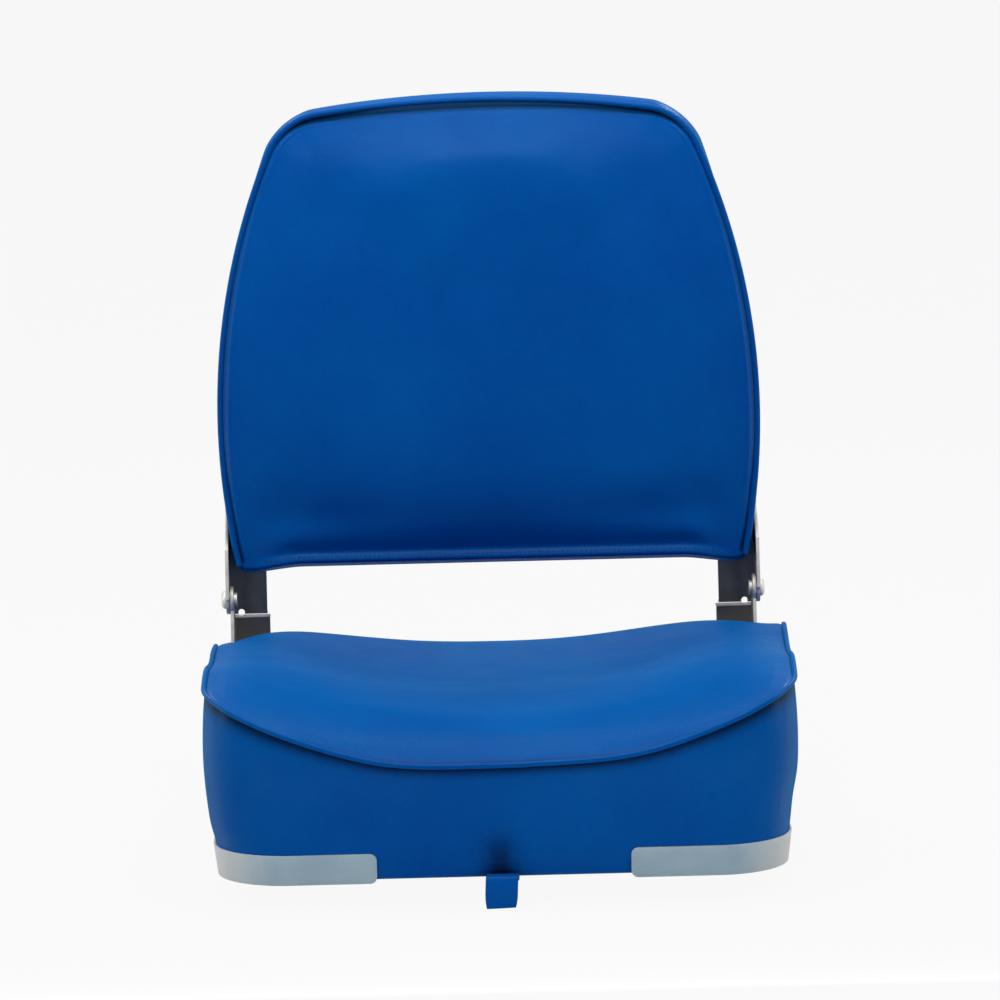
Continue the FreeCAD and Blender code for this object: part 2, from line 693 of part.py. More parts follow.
wall = size("guard_wall")
gap = size("cover_gap")
guard_top = size("guard_up")
guard_base = -vinyl - gap - wall
guard_out = cushion_sides(-gap - wall)
guard_in = cushion_sides(-gap)
guard_flange_in = Part.Face(plan_wire(guard_base - 1, draw_bottom + size("guard_flange"), 0))
guard_flange_in = guard_flange_in.extrude(Vector(0, 0, 10))
side_level = block((-300, -300, guard_base), (300, 300, guard_top))
flange_level = block((-300, -300, guard_base), (300, 300, guard_base + wall))
round_end = size("guard_round")
for side, sign in sides:
    ends = [(size("guard_front"), guard_base, round_end), (half_width + 20, guard_base, 1)]
    ends += [(half_width + 20, guard_top, 1), (size("guard_front"), guard_top, round_end)]
    window = rounded_outline(ends, lambda p: Vector(sign * p.x, front - 20, p.y))
    front_part = Part.Face(window).extrude(Vector(0, size("front_corner") + 30, 0))
    ends = [(front - 20, guard_base, 1), (-size("guard_side"), guard_base, round_end)]
    ends += [(-size("guard_side"), guard_top, round_end), (front - 20, guard_top, 1)]
    window = rounded_outline(ends, lambda p: Vector(sign * (half_width - size("front_corner")), p.x, p.y))
    side_part = Part.Face(window).extrude(Vector(sign * (size("front_corner") + 20), 0, 0))
    zone = front_part.fuse(side_part)
    upright = guard_out.common(side_level).cut(guard_in)
    flange = guard_out.common(flange_level).cut(guard_flange_in)
    guard = upright.fuse(flange).common(zone).cut(pegs(guard_spots, size("screw_radius"), -20, 20))
    guard = max(guard.removeSplitter().Solids, key=lambda solid: solid.Volume)
    keep_shape("corner_guard_" + side, guard)

# Hold-down strap under the front edge

thick = size("strap_thick")
edge_y = front + draw_bottom
hem_y = edge_y + size("hem_width")
under_hem = -vinyl - gap - thick / 2
strap_points = [(-size("strap_start"), -thick / 2), (hem_y + size("strap_lie"), -thick / 2)]
strap_points += [(hem_y + size("strap_step"), under_hem), (edge_y - size("strap_under"), under_hem)]
strap_points += [(edge_y - size("strap_rise"), thick * 1.6), (edge_y - size("strap_fold"), thick * 1.2)]
strap_points += [(edge_y - size("strap_tip"), -size("strap_drop"))]
strap_bends = [size("strap_easy_bend")] * 2 + [size("strap_bend")] * 3


def strap_wire(points, bends):
    ring = [Vector(0, y, z) for y, z in points]
    spans = []
    for here, before, after, radius in zip(ring[1:], ring, ring[2:], bends):
        back_way = (before - here).normalize()
        on_way = (after - here).normalize()
        half = back_way.getAngle(on_way) / 2
        reach = radius / math.tan(half)
        middle = here + (back_way + on_way).normalize() * (radius / math.sin(half) - radius)
        spans.append((here + back_way * reach, middle, here + on_way * reach))
    edges = []
    last = ring[0]
    for start, middle, end in spans:
        edges += [Part.makeLine(last, start), arc(start, middle, end)]
        last = end
    edges.append(Part.makeLine(last, ring[-1]))
    return Part.Wire(edges)


strap_line = strap_wire(strap_points, strap_bends)
corner_points = [(-size("strap_wide") / 2, -thick / 2), (size("strap_wide") / 2, -thick / 2)]
corner_points += [(size("strap_wide") / 2, thick / 2), (-size("strap_wide") / 2, thick / 2)]
strap_start = Vector(0, -size("strap_start"), -thick / 2)
section = Part.makePolygon([strap_start + Vector(x, 0, z) for x, z in corner_points + corner_points[:1]])
strap_shell = Part.BRepOffsetAPI.MakePipeShell(strap_line)
strap_shell.setTransitionMode(1)
strap_shell.add(section)
strap_shell.build()
strap_shell.makeSolid()
strap = strap_shell.shape().cut(pegs([strap_spot], size("screw_radius"), -10, 5))
keep_shape("hold_down_strap", strap)

# Backrest forms, drawn upright about the pivot with the front towards -Y

back_bottom = size("back_bottom")
back_high = size("back_high")
back_half = size("back_width") / 2
rear_plane = size("arm_back") - gap


def back_wire(depth, inset, open_line=False):
    side_arc = size("back_side_arc") - inset
    corner = size("back_corner") - inset
    top_arc = size("back_top_arc") - inset
    foot = max(size("back_foot_corner") - inset, 3)
    low = back_bottom + inset
    side_centre = Vector(back_half - size("back_side_arc"), back_bottom + size("back_widest"), 0)
    top_centre = Vector(0, back_bottom + back_high - size("back_top_arc"), 0)
    gap_way = side_centre - top_centre
    span = gap_way.Length
    to_top, to_side = top_arc - corner, side_arc - corner
    along = (to_top ** 2 - to_side ** 2 + span ** 2) / (2 * span)
    across = math.sqrt(to_top ** 2 - along ** 2)
    way = gap_way.normalize()
    turned = Vector(-way.y, way.x, 0)
    options = [top_centre + way * along + turned * (sign * across) for sign in (-1, 1)]
    corner_centre = max(options, key=lambda point: point.x)
    foot_x = side_centre.x + math.sqrt((side_arc - foot) ** 2 - (low + foot - side_centre.y) ** 2)
    foot_centre = Vector(foot_x, low + foot, 0)

    def on(centre, towards, radius):
        return centre + (towards - centre).normalize() * radius

    top_join = on(top_centre, corner_centre, top_arc)
    side_join = on(side_centre, corner_centre, side_arc)
    foot_join = on(side_centre, foot_centre, side_arc)
    foot_end = Vector(foot_centre.x, low, 0)
    mid_corner = on(corner_centre, (top_join + side_join) * 0.5, corner)
    mid_side = on(side_centre, (side_join + foot_join) * 0.5, side_arc)
    mid_foot = on(foot_centre, (foot_join + foot_end) * 0.5, foot)
    top_mid = Vector(0, back_bottom + back_high - inset, 0)

    def place(point, sign):
        return Vector(sign * point.x, rear_plane - depth, point.y)

    edges = []
    edges.append(arc(place(foot_join, -1), place(mid_side, -1), place(side_join, -1)))
    edges.append(arc(place(side_join, -1), place(mid_corner, -1), place(top_join, -1)))
    edges.append(arc(place(top_join, -1), place(top_mid, 1), place(top_join, 1)))
    edges.append(arc(place(top_join, 1), place(mid_corner, 1), place(side_join, 1)))
    edges.append(arc(place(side_join, 1), place(mid_side, 1), place(foot_join, 1)))
    if open_line:
        return Part.Wire(edges)
    edges.append(arc(place(foot_join, 1), place(mid_foot, 1), place(foot_end, 1)))
    edges.append(Part.makeLine(place(foot_end, 1), place(foot_end, -1)))
    edges.append(arc(place(foot_end, -1), place(mid_foot, -1), place(foot_join, -1)))
    return Part.Wire(edges)


def back_sides(skin):
    seam = size("back_seam")
    crown = size("back_crown")
    roll = size("back_roll")
    levels = [(0, 3), (seam * 0.5, 0), (seam, 1), ((seam + crown) / 2, roll * 0.3), (crown + 1, roll)]
    return Part.makeLoft([back_wire(depth, inset + skin) for depth, inset in levels], True, False)


def back_crown(skin):
    crown = size("back_crown") - skin
    stations = [(-0.03, crown - 11), (0.2, crown - 1.5), (0.45, crown), (0.75, crown - 4), (1.03, crown - 13)]
    edge = back_half + 10
    wires = []
    for share, depth in stations:
        up = back_bottom + back_high * share
        drop = size("back_arch") - math.sqrt(size("back_arch") ** 2 - edge ** 2)
        left = Vector(-edge, rear_plane - depth + drop, up)
        right = Vector(edge, rear_plane - depth + drop, up)
        behind = [Vector(edge, rear_plane + 20, up), Vector(-edge, rear_plane + 20, up)]
        bow = arc(left, Vector(0, rear_plane - depth, up), right)
        lines = [Part.makeLine(right, behind[0]), Part.makeLine(*behind), Part.makeLine(behind[1], left)]
        wires.append(Part.Wire([bow] + lines))
    return Part.makeLoft(wires, True, False)


back_out = back_sides(0).common(back_crown(0))
back_in = back_sides(vinyl).common(back_crown(vinyl))
panel_line = rear_plane - vinyl
seam_line_y = rear_plane - size("back_seam")
board_front = panel_line - size("back_board_thick")
arm_face = size("arm_outer") - size("plate") - gap
recess_end = back_bottom + size("recess_end")
arm_line = [(arm_face, -60), (arm_face, back_bottom + size("recess_up")), (back_half + 2, recess_end)]
arm_line += [(back_half + 30, recess_end), (back_half + 30, -60)]
arm_room = both(prism([(x, -80, z) for x, z in arm_line], (0, 80 + rear_plane + 1, 0)))

arm_rows = [size("arm_bolt_low") + step * size("arm_bolt_step") for step in range(3)]
arm_spots = [(sign * size("arm_bolt_side"), row) for _, sign in sides for row in arm_rows]


def back_pegs(radius, near, far):
    return Part.makeCompound([Part.makeCylinder(radius, far - near, Vector(x, near, z), Vector(0, 1, 0))
                              for x, z in arm_spots])


# Backrest board, rear panel, foam and cover

board_form = Part.Face(back_wire(vinyl, 3 + vinyl + gap))
back_board = board_form.extrude(Vector(0, -size("back_board_thick"), 0)).cut(arm_room)
keep_shape("back_board", back_board.cut(back_pegs(size("nut_barrel") + size("running"), -60, 60)), True)

rear_sheet = Part.Face(back_wire(0, 3)).extrude(Vector(0, -vinyl, 0)).cut(arm_room)
keep_shape("back_rear_panel", rear_sheet.cut(back_pegs(size("bolt_radius") + 0.3, -60, 60)), True)

in_front = block((-300, -200, -50), (300, board_front, 600))
flange_room = back_pegs(size("nut_flange") + 0.4, board_front - 2.5, board_front)
back_foam = back_in.common(in_front).cut(arm_room).cut(flange_room)
keep_shape("back_foam", max(back_foam.Solids, key=lambda solid: solid.Volume), True)

back_shell = back_out.cut(back_in).cut(arm_room)
back_shell = back_shell.common(block((-300, -200, -50), (300, panel_line, 600)))
boxing_zone = block((-300, seam_line_y, back_bottom + size("back_foot_corner")), (300, 100, 600))
back_boxing = back_shell.common(boxing_zone)
keep_shape("back_boxing", max(back_boxing.Solids, key=lambda solid: solid.Volume), True)
front_panel = back_shell.cut(boxing_zone)
keep_shape("back_front_panel", max(front_panel.Solids, key=lambda solid: solid.Volume), True)

welt_line = back_wire(size("back_seam"), 1 - welt / 2, open_line=True)
back_welt = pipe(welt_line, welt).cut(back_out).cut(arm_room)
keep_shape("back_welt", max(back_welt.Solids, key=lambda solid: solid.Volume), True)

# Bolts and T-nuts between the arms and the backrest board

arm_nut = new_body("arm_nut")
profile = new_sketch(arm_nut, "XY_Plane")
nut_rear = "arm_back - cover_gap - vinyl"
nut_front = f"{nut_rear} - back_board_thick"
add_outline(profile, [("nut_bore", nut_rear), ("nut_barrel", nut_rear), ("nut_barrel", nut_front),
                      ("nut_flange", nut_front), ("nut_flange", f"{nut_front} - nut_plate"),
                      ("nut_bore", f"{nut_front} - nut_plate")])
turn(arm_nut, profile, "V_Axis")
arm_places = [(f"{sign} * arm_bolt_side", "0", f"arm_bolt_low + {step} * arm_bolt_step")
              for _, sign in sides for step in range(3)]
keep_group("hinge_arm_t_nuts", arm_nut, arm_places, True)

arm_bolt = new_body("arm_bolt")
profile = new_sketch(arm_bolt, "XY_Plane")
head_rear = "arm_back + plate"
add_outline(profile, [("0", f"{head_rear} + bolt_head_high"), ("bolt_head", f"{head_rear} + bolt_head_high"),
                      ("bolt_head", head_rear), ("bolt_radius", head_rear),
                      ("bolt_radius", nut_front), ("0", nut_front)])
turn(arm_bolt, profile, "V_Axis")
head_edge = size("arm_back") + size("plate") + 1
round_edges(arm_bolt, "bolt_head_high * 0.7",
            lambda edge: edge.BoundBox.YMin > head_edge and edge.BoundBox.XLength > 10)
keep_group("hinge_arm_bolts", arm_bolt, arm_places, True)

# Write every piece once all of them are sound

doc.recompute()
for item in doc.Objects:
    if "Invalid" in item.State or "Error" in item.State:
        raise RuntimeError(f"{item.Label} is {item.State}")
os.makedirs("parts", exist_ok=True)
for item in exports:
    shape = item.Shape
    if shape.isNull() or not shape.isValid() or not shape.Solids:
        raise RuntimeError(f"{item.Label} has no sound solid")
for item in exports:
    item.Shape.exportStep(f"parts/{item.Label}.step")
    print(item.Label, len(item.Shape.Solids), round(item.Shape.Volume))
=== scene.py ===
import math
import random
import bpy
from mathutils import Matrix, Vector, kdtree
from mathutils.bvhtree import BVHTree


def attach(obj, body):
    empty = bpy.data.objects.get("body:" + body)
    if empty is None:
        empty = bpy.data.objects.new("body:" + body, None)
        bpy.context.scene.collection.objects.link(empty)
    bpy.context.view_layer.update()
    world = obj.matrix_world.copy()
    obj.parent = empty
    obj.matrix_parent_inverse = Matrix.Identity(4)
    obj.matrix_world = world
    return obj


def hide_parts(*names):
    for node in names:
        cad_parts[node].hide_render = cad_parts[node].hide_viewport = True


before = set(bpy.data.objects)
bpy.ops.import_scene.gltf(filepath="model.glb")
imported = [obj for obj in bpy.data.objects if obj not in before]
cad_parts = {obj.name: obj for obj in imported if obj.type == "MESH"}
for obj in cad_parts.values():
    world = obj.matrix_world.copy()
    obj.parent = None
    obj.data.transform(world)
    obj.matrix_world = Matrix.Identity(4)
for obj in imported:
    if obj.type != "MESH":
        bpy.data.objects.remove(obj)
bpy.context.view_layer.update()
mm = 0.001
scene = bpy.context.scene
print("frame loaded:", len(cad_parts), "nodes")


# small tools used all over

def clearSelection():
    if bpy.context.object and bpy.context.object.mode != "OBJECT":
        bpy.ops.object.mode_set(mode="OBJECT")
    bpy.ops.object.select_all(action="DESELECT")


def selectOnly(*pieces):
    clearSelection()
    for piece in pieces:
        piece.select_set(True)
    bpy.context.view_layer.objects.active = pieces[0]


def applyModifiers(piece):
    selectOnly(piece)
    for modifier in list(piece.modifiers):
        bpy.ops.object.modifier_apply(modifier=modifier.name)


def addModifier(piece, kind, **values):
    modifier = piece.modifiers.new(kind.title(), kind)
    for name, value in values.items():
        setattr(modifier, name, value)
    return modifier


def subdivide(piece, levels):
    addModifier(piece, "SUBSURF", levels=levels, render_levels=levels)
    applyModifiers(piece)


def smoothShade(piece, angle=None):
    selectOnly(piece)
    if angle is None:
        bpy.ops.object.shade_smooth()
    else:
        bpy.ops.object.shade_smooth_by_angle(angle=math.radians(angle))


def cleanMesh(piece, weld=None, flatten=None):  # joins close points, merges flat faces, turns faces outward
    selectOnly(piece)
    bpy.ops.object.mode_set(mode="EDIT")
    bpy.ops.mesh.select_all(action="SELECT")
    if weld:
        bpy.ops.mesh.remove_doubles(threshold=weld)
    if flatten:
        bpy.ops.mesh.dissolve_limited(angle_limit=math.radians(flatten))
    bpy.ops.mesh.normals_make_consistent(inside=False)
    bpy.ops.object.mode_set(mode="OBJECT")


def meshPiece(name, points, faces):
    mesh = bpy.data.meshes.new(name)
    mesh.from_pydata(points, [], faces)
    mesh.update()
    piece = bpy.data.objects.new(name, mesh)
    scene.collection.objects.link(piece)
    return piece


def setMaterials(piece, *materials):
    piece.data.materials.clear()
    for material in materials:
        piece.data.materials.append(material)


def ease(value, low, high):
    share = min(max((value - low) / (high - low), 0.0), 1.0)
    return share * share * (3 - 2 * share)


def lookUp(table, value):  # smooth line through the table's points, level outside it
    if value <= table[0][0]:
        return table[0][1]
    if value >= table[-1][0]:
        return table[-1][1]
    last = len(table) - 1
    k = max(n for n in range(last) if table[n][0] <= value)

    def slope(n):
        (lowAt, low), (highAt, high) = table[max(n - 1, 0)], table[min(n + 1, last)]
        return (high - low) / (highAt - lowAt) if 0 < n < last else 0.0

    (startAt, start), (endAt, end) = table[k], table[k + 1]
    span = endAt - startAt
    t = (value - startAt) / span
    bend = (t - 2 * t * t + t ** 3) * slope(k) + (t ** 3 - t * t) * slope(k + 1)
    return start + (end - start) * (3 * t * t - 2 * t ** 3) + bend * span


def evenGrid(rows, passes):  # the rim stays
    for _ in range(passes):
        fresh = [list(row) for row in rows]
        for j in range(1, len(rows) - 1):
            for i in range(1, len(rows[j]) - 1):
                around = rows[j - 1][i] + rows[j + 1][i] + rows[j][i - 1] + rows[j][i + 1]
                fresh[j][i] = (rows[j][i] + around) / 5
        rows = fresh
    return rows


# camera and light come first, so that every look is at the photograph's angle

cameraView = {
    "place": (-0.039, -4.2024, 0.8943), "pitch": 8.88, "turn": -0.6, "roll": -1.3,
    "lens": 208.2, "sensor": 36,
}
clearSelection()
bpy.ops.object.camera_add(location=cameraView["place"])
camera = bpy.context.object
camera.name = "photoCamera"
turned = Matrix.Rotation(math.radians(cameraView["turn"]), 4, "Z")
turned = turned @ Matrix.Rotation(math.radians(90 - cameraView["pitch"]), 4, "X")
turned = turned @ Matrix.Rotation(math.radians(cameraView["roll"]), 4, "Z")
camera.rotation_euler = turned.to_euler()
camera.data.lens = cameraView["lens"]
camera.data.sensor_width = cameraView["sensor"]
scene.camera = camera
scene.view_settings.view_transform = "Standard"

lamps = {  # place, size across and up, watts, aim
    "frontTopSoftbox": ((0.0, -0.38, 1.2), (0.6, 0.4), 4.8, (0, 0.12, 0.35)),
    "overheadSoftbox": ((0.0, 0.1, 1.75), (0.95, 0.55), 5, (0, 0.06, 0.2)),
    "leftSoftbox": ((-1.2, 0.0, 1.6), (0.28, 0.28), 7, (0, 0, 0.25)),
    "rightSoftbox": ((1.2, 0.0, 1.6), (0.28, 0.28), 6, (0, 0, 0.25)),
    "leftCornerLamp": ((-0.8, -0.78, 1.45), (0.14, 0.14), 2, (-0.1, 0.15, 0.4)),
    "rightCornerLamp": ((0.8, -0.78, 1.45), (0.14, 0.14), 1, (0.1, 0.15, 0.4)),
    "rearLeftSoftbox": ((-0.9, 1.45, 1.6), (0.3, 0.3), 5, (0, -0.1, 0.1)),
    "rearRightSoftbox": ((0.9, 1.45, 1.6), (0.3, 0.3), 6, (0, -0.1, 0.1)),
    "rearFill": ((0.0, 1.9, 2.4), (1.6, 0.8), 14, (0, 0.2, 0.3)),
    "keySoftbox": ((0.3, -2.6, 2.0), (1.5, 1.1), 1.2, (0, 0, 0.25)),
    "lowBounce": ((0.0, -0.47, 0.0), (1.1, 0.03), 0.85, (0, -0.2, 0.05)),
    "leftStrip": ((-1.5, 0.0, 0.45), (0.3, 0.8), 4, (0, 0, 0.15)),
    "rightStrip": ((1.5, 0.0, 0.45), (0.3, 0.8), 4, (0, 0, 0.15)),
}
for lampName, (place, spread, watts, aim) in lamps.items():
    clearSelection()
    bpy.ops.object.light_add(type="AREA", location=place)
    lamp = bpy.context.object
    lamp.name = lampName
    lamp.data.shape = "RECTANGLE"
    lamp.data.size, lamp.data.size_y = spread
    lamp.data.energy = watts
    lamp.visible_glossy = lampName not in ("lowBounce", "rearFill")  # fills that stand for the pale room
    lamp.rotation_euler = (Vector(aim) - Vector(place)).to_track_quat("-Z", "Y").to_euler()

studio = {"ambient": 0.055, "floorWhite": 0.35, "floorShow": 0.93, "floorAt": -20.5 * mm, "floorSize": 60}


def anySeenRay(tree):
    rays = tree.nodes.new("ShaderNodeLightPath")
    total = None
    for output in ("Is Camera Ray", "Is Glossy Ray", "Is Transmission Ray"):
        if total is None:
            total = rays.outputs[output]
            continue
        join = tree.nodes.new("ShaderNodeMath")
        join.operation = "MAXIMUM"
        tree.links.new(total, join.inputs[0])
        tree.links.new(rays.outputs[output], join.inputs[1])
        total = join.outputs[0]
    return total


world = bpy.data.worlds.new("studioWorld")
scene.world = world
world.use_nodes = True
worldTree = world.node_tree
ambient = worldTree.nodes["Background"]
ambient.inputs["Color"].default_value = (1, 1, 1, 1)
ambient.inputs["Strength"].default_value = studio["ambient"]
whiteSky = worldTree.nodes.new("ShaderNodeBackground")
whiteSky.inputs["Color"].default_value = (1, 1, 1, 1)
skyMix = worldTree.nodes.new("ShaderNodeMixShader")
worldTree.links.new(anySeenRay(worldTree), skyMix.inputs[0])
worldTree.links.new(ambient.outputs[0], skyMix.inputs[1])
worldTree.links.new(whiteSky.outputs[0], skyMix.inputs[2])
worldTree.links.new(skyMix.outputs[0], worldTree.nodes["World Output"].inputs["Surface"])

clearSelection()
bpy.ops.mesh.primitive_plane_add(size=studio["floorSize"], location=(0, 0, studio["floorAt"]))
floor = bpy.context.object
floor.name = "studioFloor"
floorPaint = bpy.data.materials.new("paleFloor")
floorPaint.use_nodes = True
floorTree = floorPaint.node_tree
floorShader = floorTree.nodes["Principled BSDF"]
floorShader.inputs["Base Color"].default_value = (studio["floorWhite"],) * 3 + (1,)
floorShader.inputs["Roughness"].default_value = 0.9
floorShader.inputs["Specular IOR Level"].default_value = 0.0
floorGlow = floorTree.nodes.new("ShaderNodeEmission")
floorShare = floorTree.nodes.new("ShaderNodeMath")
floorShare.operation = "MULTIPLY"
floorShare.inputs[1].default_value = studio["floorShow"]
floorMix = floorTree.nodes.new("ShaderNodeMixShader")
floorTree.links.new(anySeenRay(floorTree), floorShare.inputs[0])
floorTree.links.new(floorShare.outputs[0], floorMix.inputs[0])
floorTree.links.new(floorShader.outputs[0], floorMix.inputs[1])
floorTree.links.new(floorGlow.outputs[0], floorMix.inputs[2])
floorTree.links.new(floorMix.outputs[0], floorTree.nodes["Material Output"].inputs["Surface"])
setMaterials(floor, floorPaint)
print("camera, lamps and floor set")


# finishes

class Finish:
    def __init__(self, name):
        self.material = bpy.data.materials.new(name)
        self.material.use_nodes = True
        self.tree = self.material.node_tree
        self.shader = self.tree.nodes["Principled BSDF"]
        self.coords = self.add("ShaderNodeTexCoord").outputs["Object"]
        self.bumpNormal = None

    def add(self, kind, **values):
        node = self.tree.nodes.new(kind)
        for name, value in values.items():
            setattr(node, name, value)
        return node

    def link(self, source, target):
        self.tree.links.new(source, target)

    def set(self, **values):
        for name, value in values.items():
            self.shader.inputs[name.replace("_", " ")].default_value = value

    def noise(self, scale, detail=3, roughness=0.55, distortion=0.0, stretch=None):
        node = self.add("ShaderNodeTexNoise")
        node.inputs["Scale"].default_value = scale
        node.inputs["Detail"].default_value = detail
        node.inputs["Roughness"].default_value = roughness
        node.inputs["Distortion"].default_value = distortion
        self.link(self.stretched(stretch), node.inputs["Vector"])
        return node.outputs["Fac"]

    def stretched(self, stretch):
        if stretch is None:
            return self.coords
        mapping = self.add("ShaderNodeMapping")
        mapping.inputs["Scale"].default_value = stretch
        self.link(self.coords, mapping.inputs["Vector"])
        return mapping.outputs["Vector"]

    def cells(self, scale):
        node = self.add("ShaderNodeTexVoronoi", feature="F1")
        node.inputs["Scale"].default_value = scale
        self.link(self.coords, node.inputs["Vector"])
        return node.outputs["Distance"]

    def spread(self, value, low, high, fromLow=0.3, fromHigh=0.7):
        node = self.add("ShaderNodeMapRange")
        node.inputs["From Min"].default_value = fromLow
        node.inputs["From Max"].default_value = fromHigh
        node.inputs["To Min"].default_value = low
        node.inputs["To Max"].default_value = high
        self.link(value, node.inputs["Value"])
        return node.outputs["Result"]

    def math(self, operation, first, second=None):
        node = self.add("ShaderNodeMath", operation=operation)
        for socket, value in zip(node.inputs, (first, second)):
            if isinstance(value, (int, float)):
                socket.default_value = value
            elif value is not None:
                self.link(value, socket)
        return node.outputs[0]

    def mixColours(self, share, first, second):
        node = self.add("ShaderNodeMix", data_type="RGBA")
        self.link(share, node.inputs[0])
        for socket, value in ((node.inputs[6], first), (node.inputs[7], second)):
            if isinstance(value, tuple):
                socket.default_value = value + (1,)
            else:
                self.link(value, socket)
        return node.outputs[2]

    def attribute(self, name):
        node = self.add("ShaderNodeAttribute", attribute_name=name)
        return node.outputs["Fac"]

    def bump(self, height, strength, distance):
        node = self.add("ShaderNodeBump")
        node.inputs["Strength"].default_value = strength
        node.inputs["Distance"].default_value = distance
        self.link(height, node.inputs["Height"])
        if self.bumpNormal is not None:
            self.link(self.bumpNormal, node.inputs["Normal"])
        self.bumpNormal = node.outputs["Normal"]
        self.link(self.bumpNormal, self.shader.inputs["Normal"])

    def colour(self, value):
        self.link(value, self.shader.inputs["Base Color"])

    def rough(self, value):
        self.link(value, self.shader.inputs["Roughness"])


# seam and seamShade set the colour and strength of the painted shade laid into seam grooves, under the welts
# and in the strap dimple
vinylLook = {
    "deep": (0.0, 0.058, 0.310), "bright": (0.0, 0.087, 0.370), "seam": (0.0, 0.006, 0.035),
    "specular": 0.07, "tint": (0.5, 0.75, 1.0, 1), "roughLow": 0.25, "roughHigh": 0.31, "roughAside": 0.36,
    "sheen": 0.12, "sheenTint": (0.0, 0.9, 0.8, 1), "grain": 760, "seamShade": 0.92,
}


def makeVinyl():
    look = vinylLook
    finish = Finish("blueVinyl")
    tone = finish.spread(finish.noise(7, 4), 0, 1)
    fine = finish.spread(finish.noise(260, 2), 0, 0.25)
    blue = finish.mixColours(finish.math("ADD", tone, fine), look["deep"], look["bright"])
    # painted shade: the seamShade mask darkens the vinyl toward the near-black seam colour in shaded grooves
    # and the dimple
    shade = finish.math("MULTIPLY", finish.attribute("seamShade"), look["seamShade"])
    finish.colour(finish.mixColours(shade, blue, look["seam"]))
    aside = finish.add("ShaderNodeLayerWeight").outputs["Facing"]
    duller = finish.spread(aside, 0, look["roughAside"], 0.5, 0.85)  # the grain dulls what is seen edge on
    evenly = finish.spread(finish.noise(45, 4), look["roughLow"], look["roughHigh"])
    finish.rough(finish.math("ADD", evenly, duller))
    finish.set(Specular_IOR_Level=look["specular"], Specular_Tint=look["tint"])
    finish.set(Sheen_Weight=look["sheen"], Sheen_Roughness=0.5, Sheen_Tint=look["sheenTint"])
    ridge = finish.math("ABSOLUTE", finish.math("SUBTRACT", finish.noise(15, 2, 0.5, 1.2), 0.5))
    crease = finish.spread(ridge, 0, 1, 0.0, 0.012)
    where = finish.spread(finish.noise(4.5, 1), 0, 1, 0.5, 0.66)
    finish.bump(finish.math("MULTIPLY", finish.math("SUBTRACT", 1, crease), where), 0.07, 0.0008)
    finish.bump(finish.noise(42, 3, 0.5, 0.6), 0.05, 0.0014)
    finish.bump(finish.cells(look["grain"]), 0.06, 0.0005)
    finish.bump(finish.noise(2300, 2), 0.05, 0.0002)
    return finish.material


def makeThread():
    finish = Finish("blueThread")
    twist = finish.add("ShaderNodeTexWave", bands_direction="DIAGONAL")
    twist.inputs["Scale"].default_value = 900
    finish.link(finish.coords, twist.inputs["Vector"])
    finish.colour(finish.mixColours(twist.outputs["Fac"], (0.0, 0.006, 0.03), (0.0, 0.014, 0.06)))
    finish.rough(finish.spread(finish.noise(800, 2), 0.5, 0.7))
    finish.bump(twist.outputs["Fac"], 0.4, 0.0002)
    return finish.material


# painted shade: the brackets' metal faces get a darker grey-brown than their edges, standing in for the shade
# on the webs
def makeBracketFaceShade():
    finish = Finish("bracketFacePaintedShade")
    tone = finish.spread(finish.noise(28, 5), 0, 1)
    finish.colour(finish.mixColours(tone, (0.265, 0.23, 0.175), (0.35, 0.305, 0.24)))
    finish.rough(finish.spread(finish.noise(120, 4), 0.38, 0.55))
    finish.set(Specular_IOR_Level=0.25)
    finish.bump(finish.noise(900, 3), 0.12, 0.0002)
    return finish.material


# painted highlight: the plate edges and softened bevels get a paler steel than the faces, standing in for the
# gleam along the edges
def makeBracketEdgeHighlight():
    finish = Finish("bracketEdgePaintedHighlight")
    edgeTone = finish.spread(finish.noise(90, 5), 0, 1)
    finish.colour(finish.mixColours(edgeTone, (0.42, 0.41, 0.39), (0.62, 0.61, 0.58)))
    finish.rough(finish.spread(finish.noise(300, 3), 0.45, 0.6))
    finish.set(Metallic=0.7)
    finish.bump(finish.noise(1400, 2), 0.1, 0.0001)
    return finish.material


def makePlating():
    finish = Finish("platedSteel")
    haze = finish.spread(finish.noise(160, 4), 0, 1)
    finish.colour(finish.mixColours(haze, (0.52, 0.51, 0.48), (0.68, 0.67, 0.63)))
    finish.rough(finish.spread(finish.noise(500, 3), 0.45, 0.6))
    finish.set(Metallic=0.75)
    finish.bump(finish.noise(2000, 2), 0.08, 0.0001)
    return finish.material


def makeGuardPlastic(name, low, high, clear):
    finish = Finish(name)
    cloud = finish.spread(finish.noise(22, 5), 0, 1)
    scuff = finish.spread(finish.noise(160, 3, stretch=(1, 1, 4)), 0, 0.3)
    milk = finish.mixColours(finish.math("ADD", cloud, scuff), low, high)
    across = finish.add("ShaderNodeSeparateXYZ")
    finish.link(finish.coords, across.inputs[0])
    corner = finish.spread(finish.math("ABSOLUTE", across.outputs["X"]), 0, 0.9, 0.165, 0.205)
    finish.colour(finish.mixColours(corner, milk, (0.86, 0.87, 0.84)))  # paler round the corner
    finish.rough(finish.spread(finish.noise(60, 4), 0.32, 0.48))
    finish.set(Transmission_Weight=clear, IOR=1.46, Specular_IOR_Level=0.4)
    finish.bump(finish.noise(500, 3), 0.08, 0.0003)
    return finish.material


def makePlywood():
    finish = Finish("basePlywood")
    grain = finish.noise(18, 6, 0.6, 1.4, stretch=(0.6, 7, 7))
    pores = finish.noise(120, 3, 0.5, 0.2, stretch=(0.5, 9, 9))
    wood = finish.mixColours(finish.spread(grain, 0, 1), (0.42, 0.26, 0.13), (0.64, 0.45, 0.26))
    finish.colour(finish.mixColours(finish.spread(pores, 0, 0.45, 0.55, 0.75), wood, (0.25, 0.15, 0.08)))
    finish.rough(finish.spread(grain, 0.55, 0.75))
    finish.bump(pores, 0.25, 0.0004)
    finish.bump(grain, 0.15, 0.0006)
    return finish.material


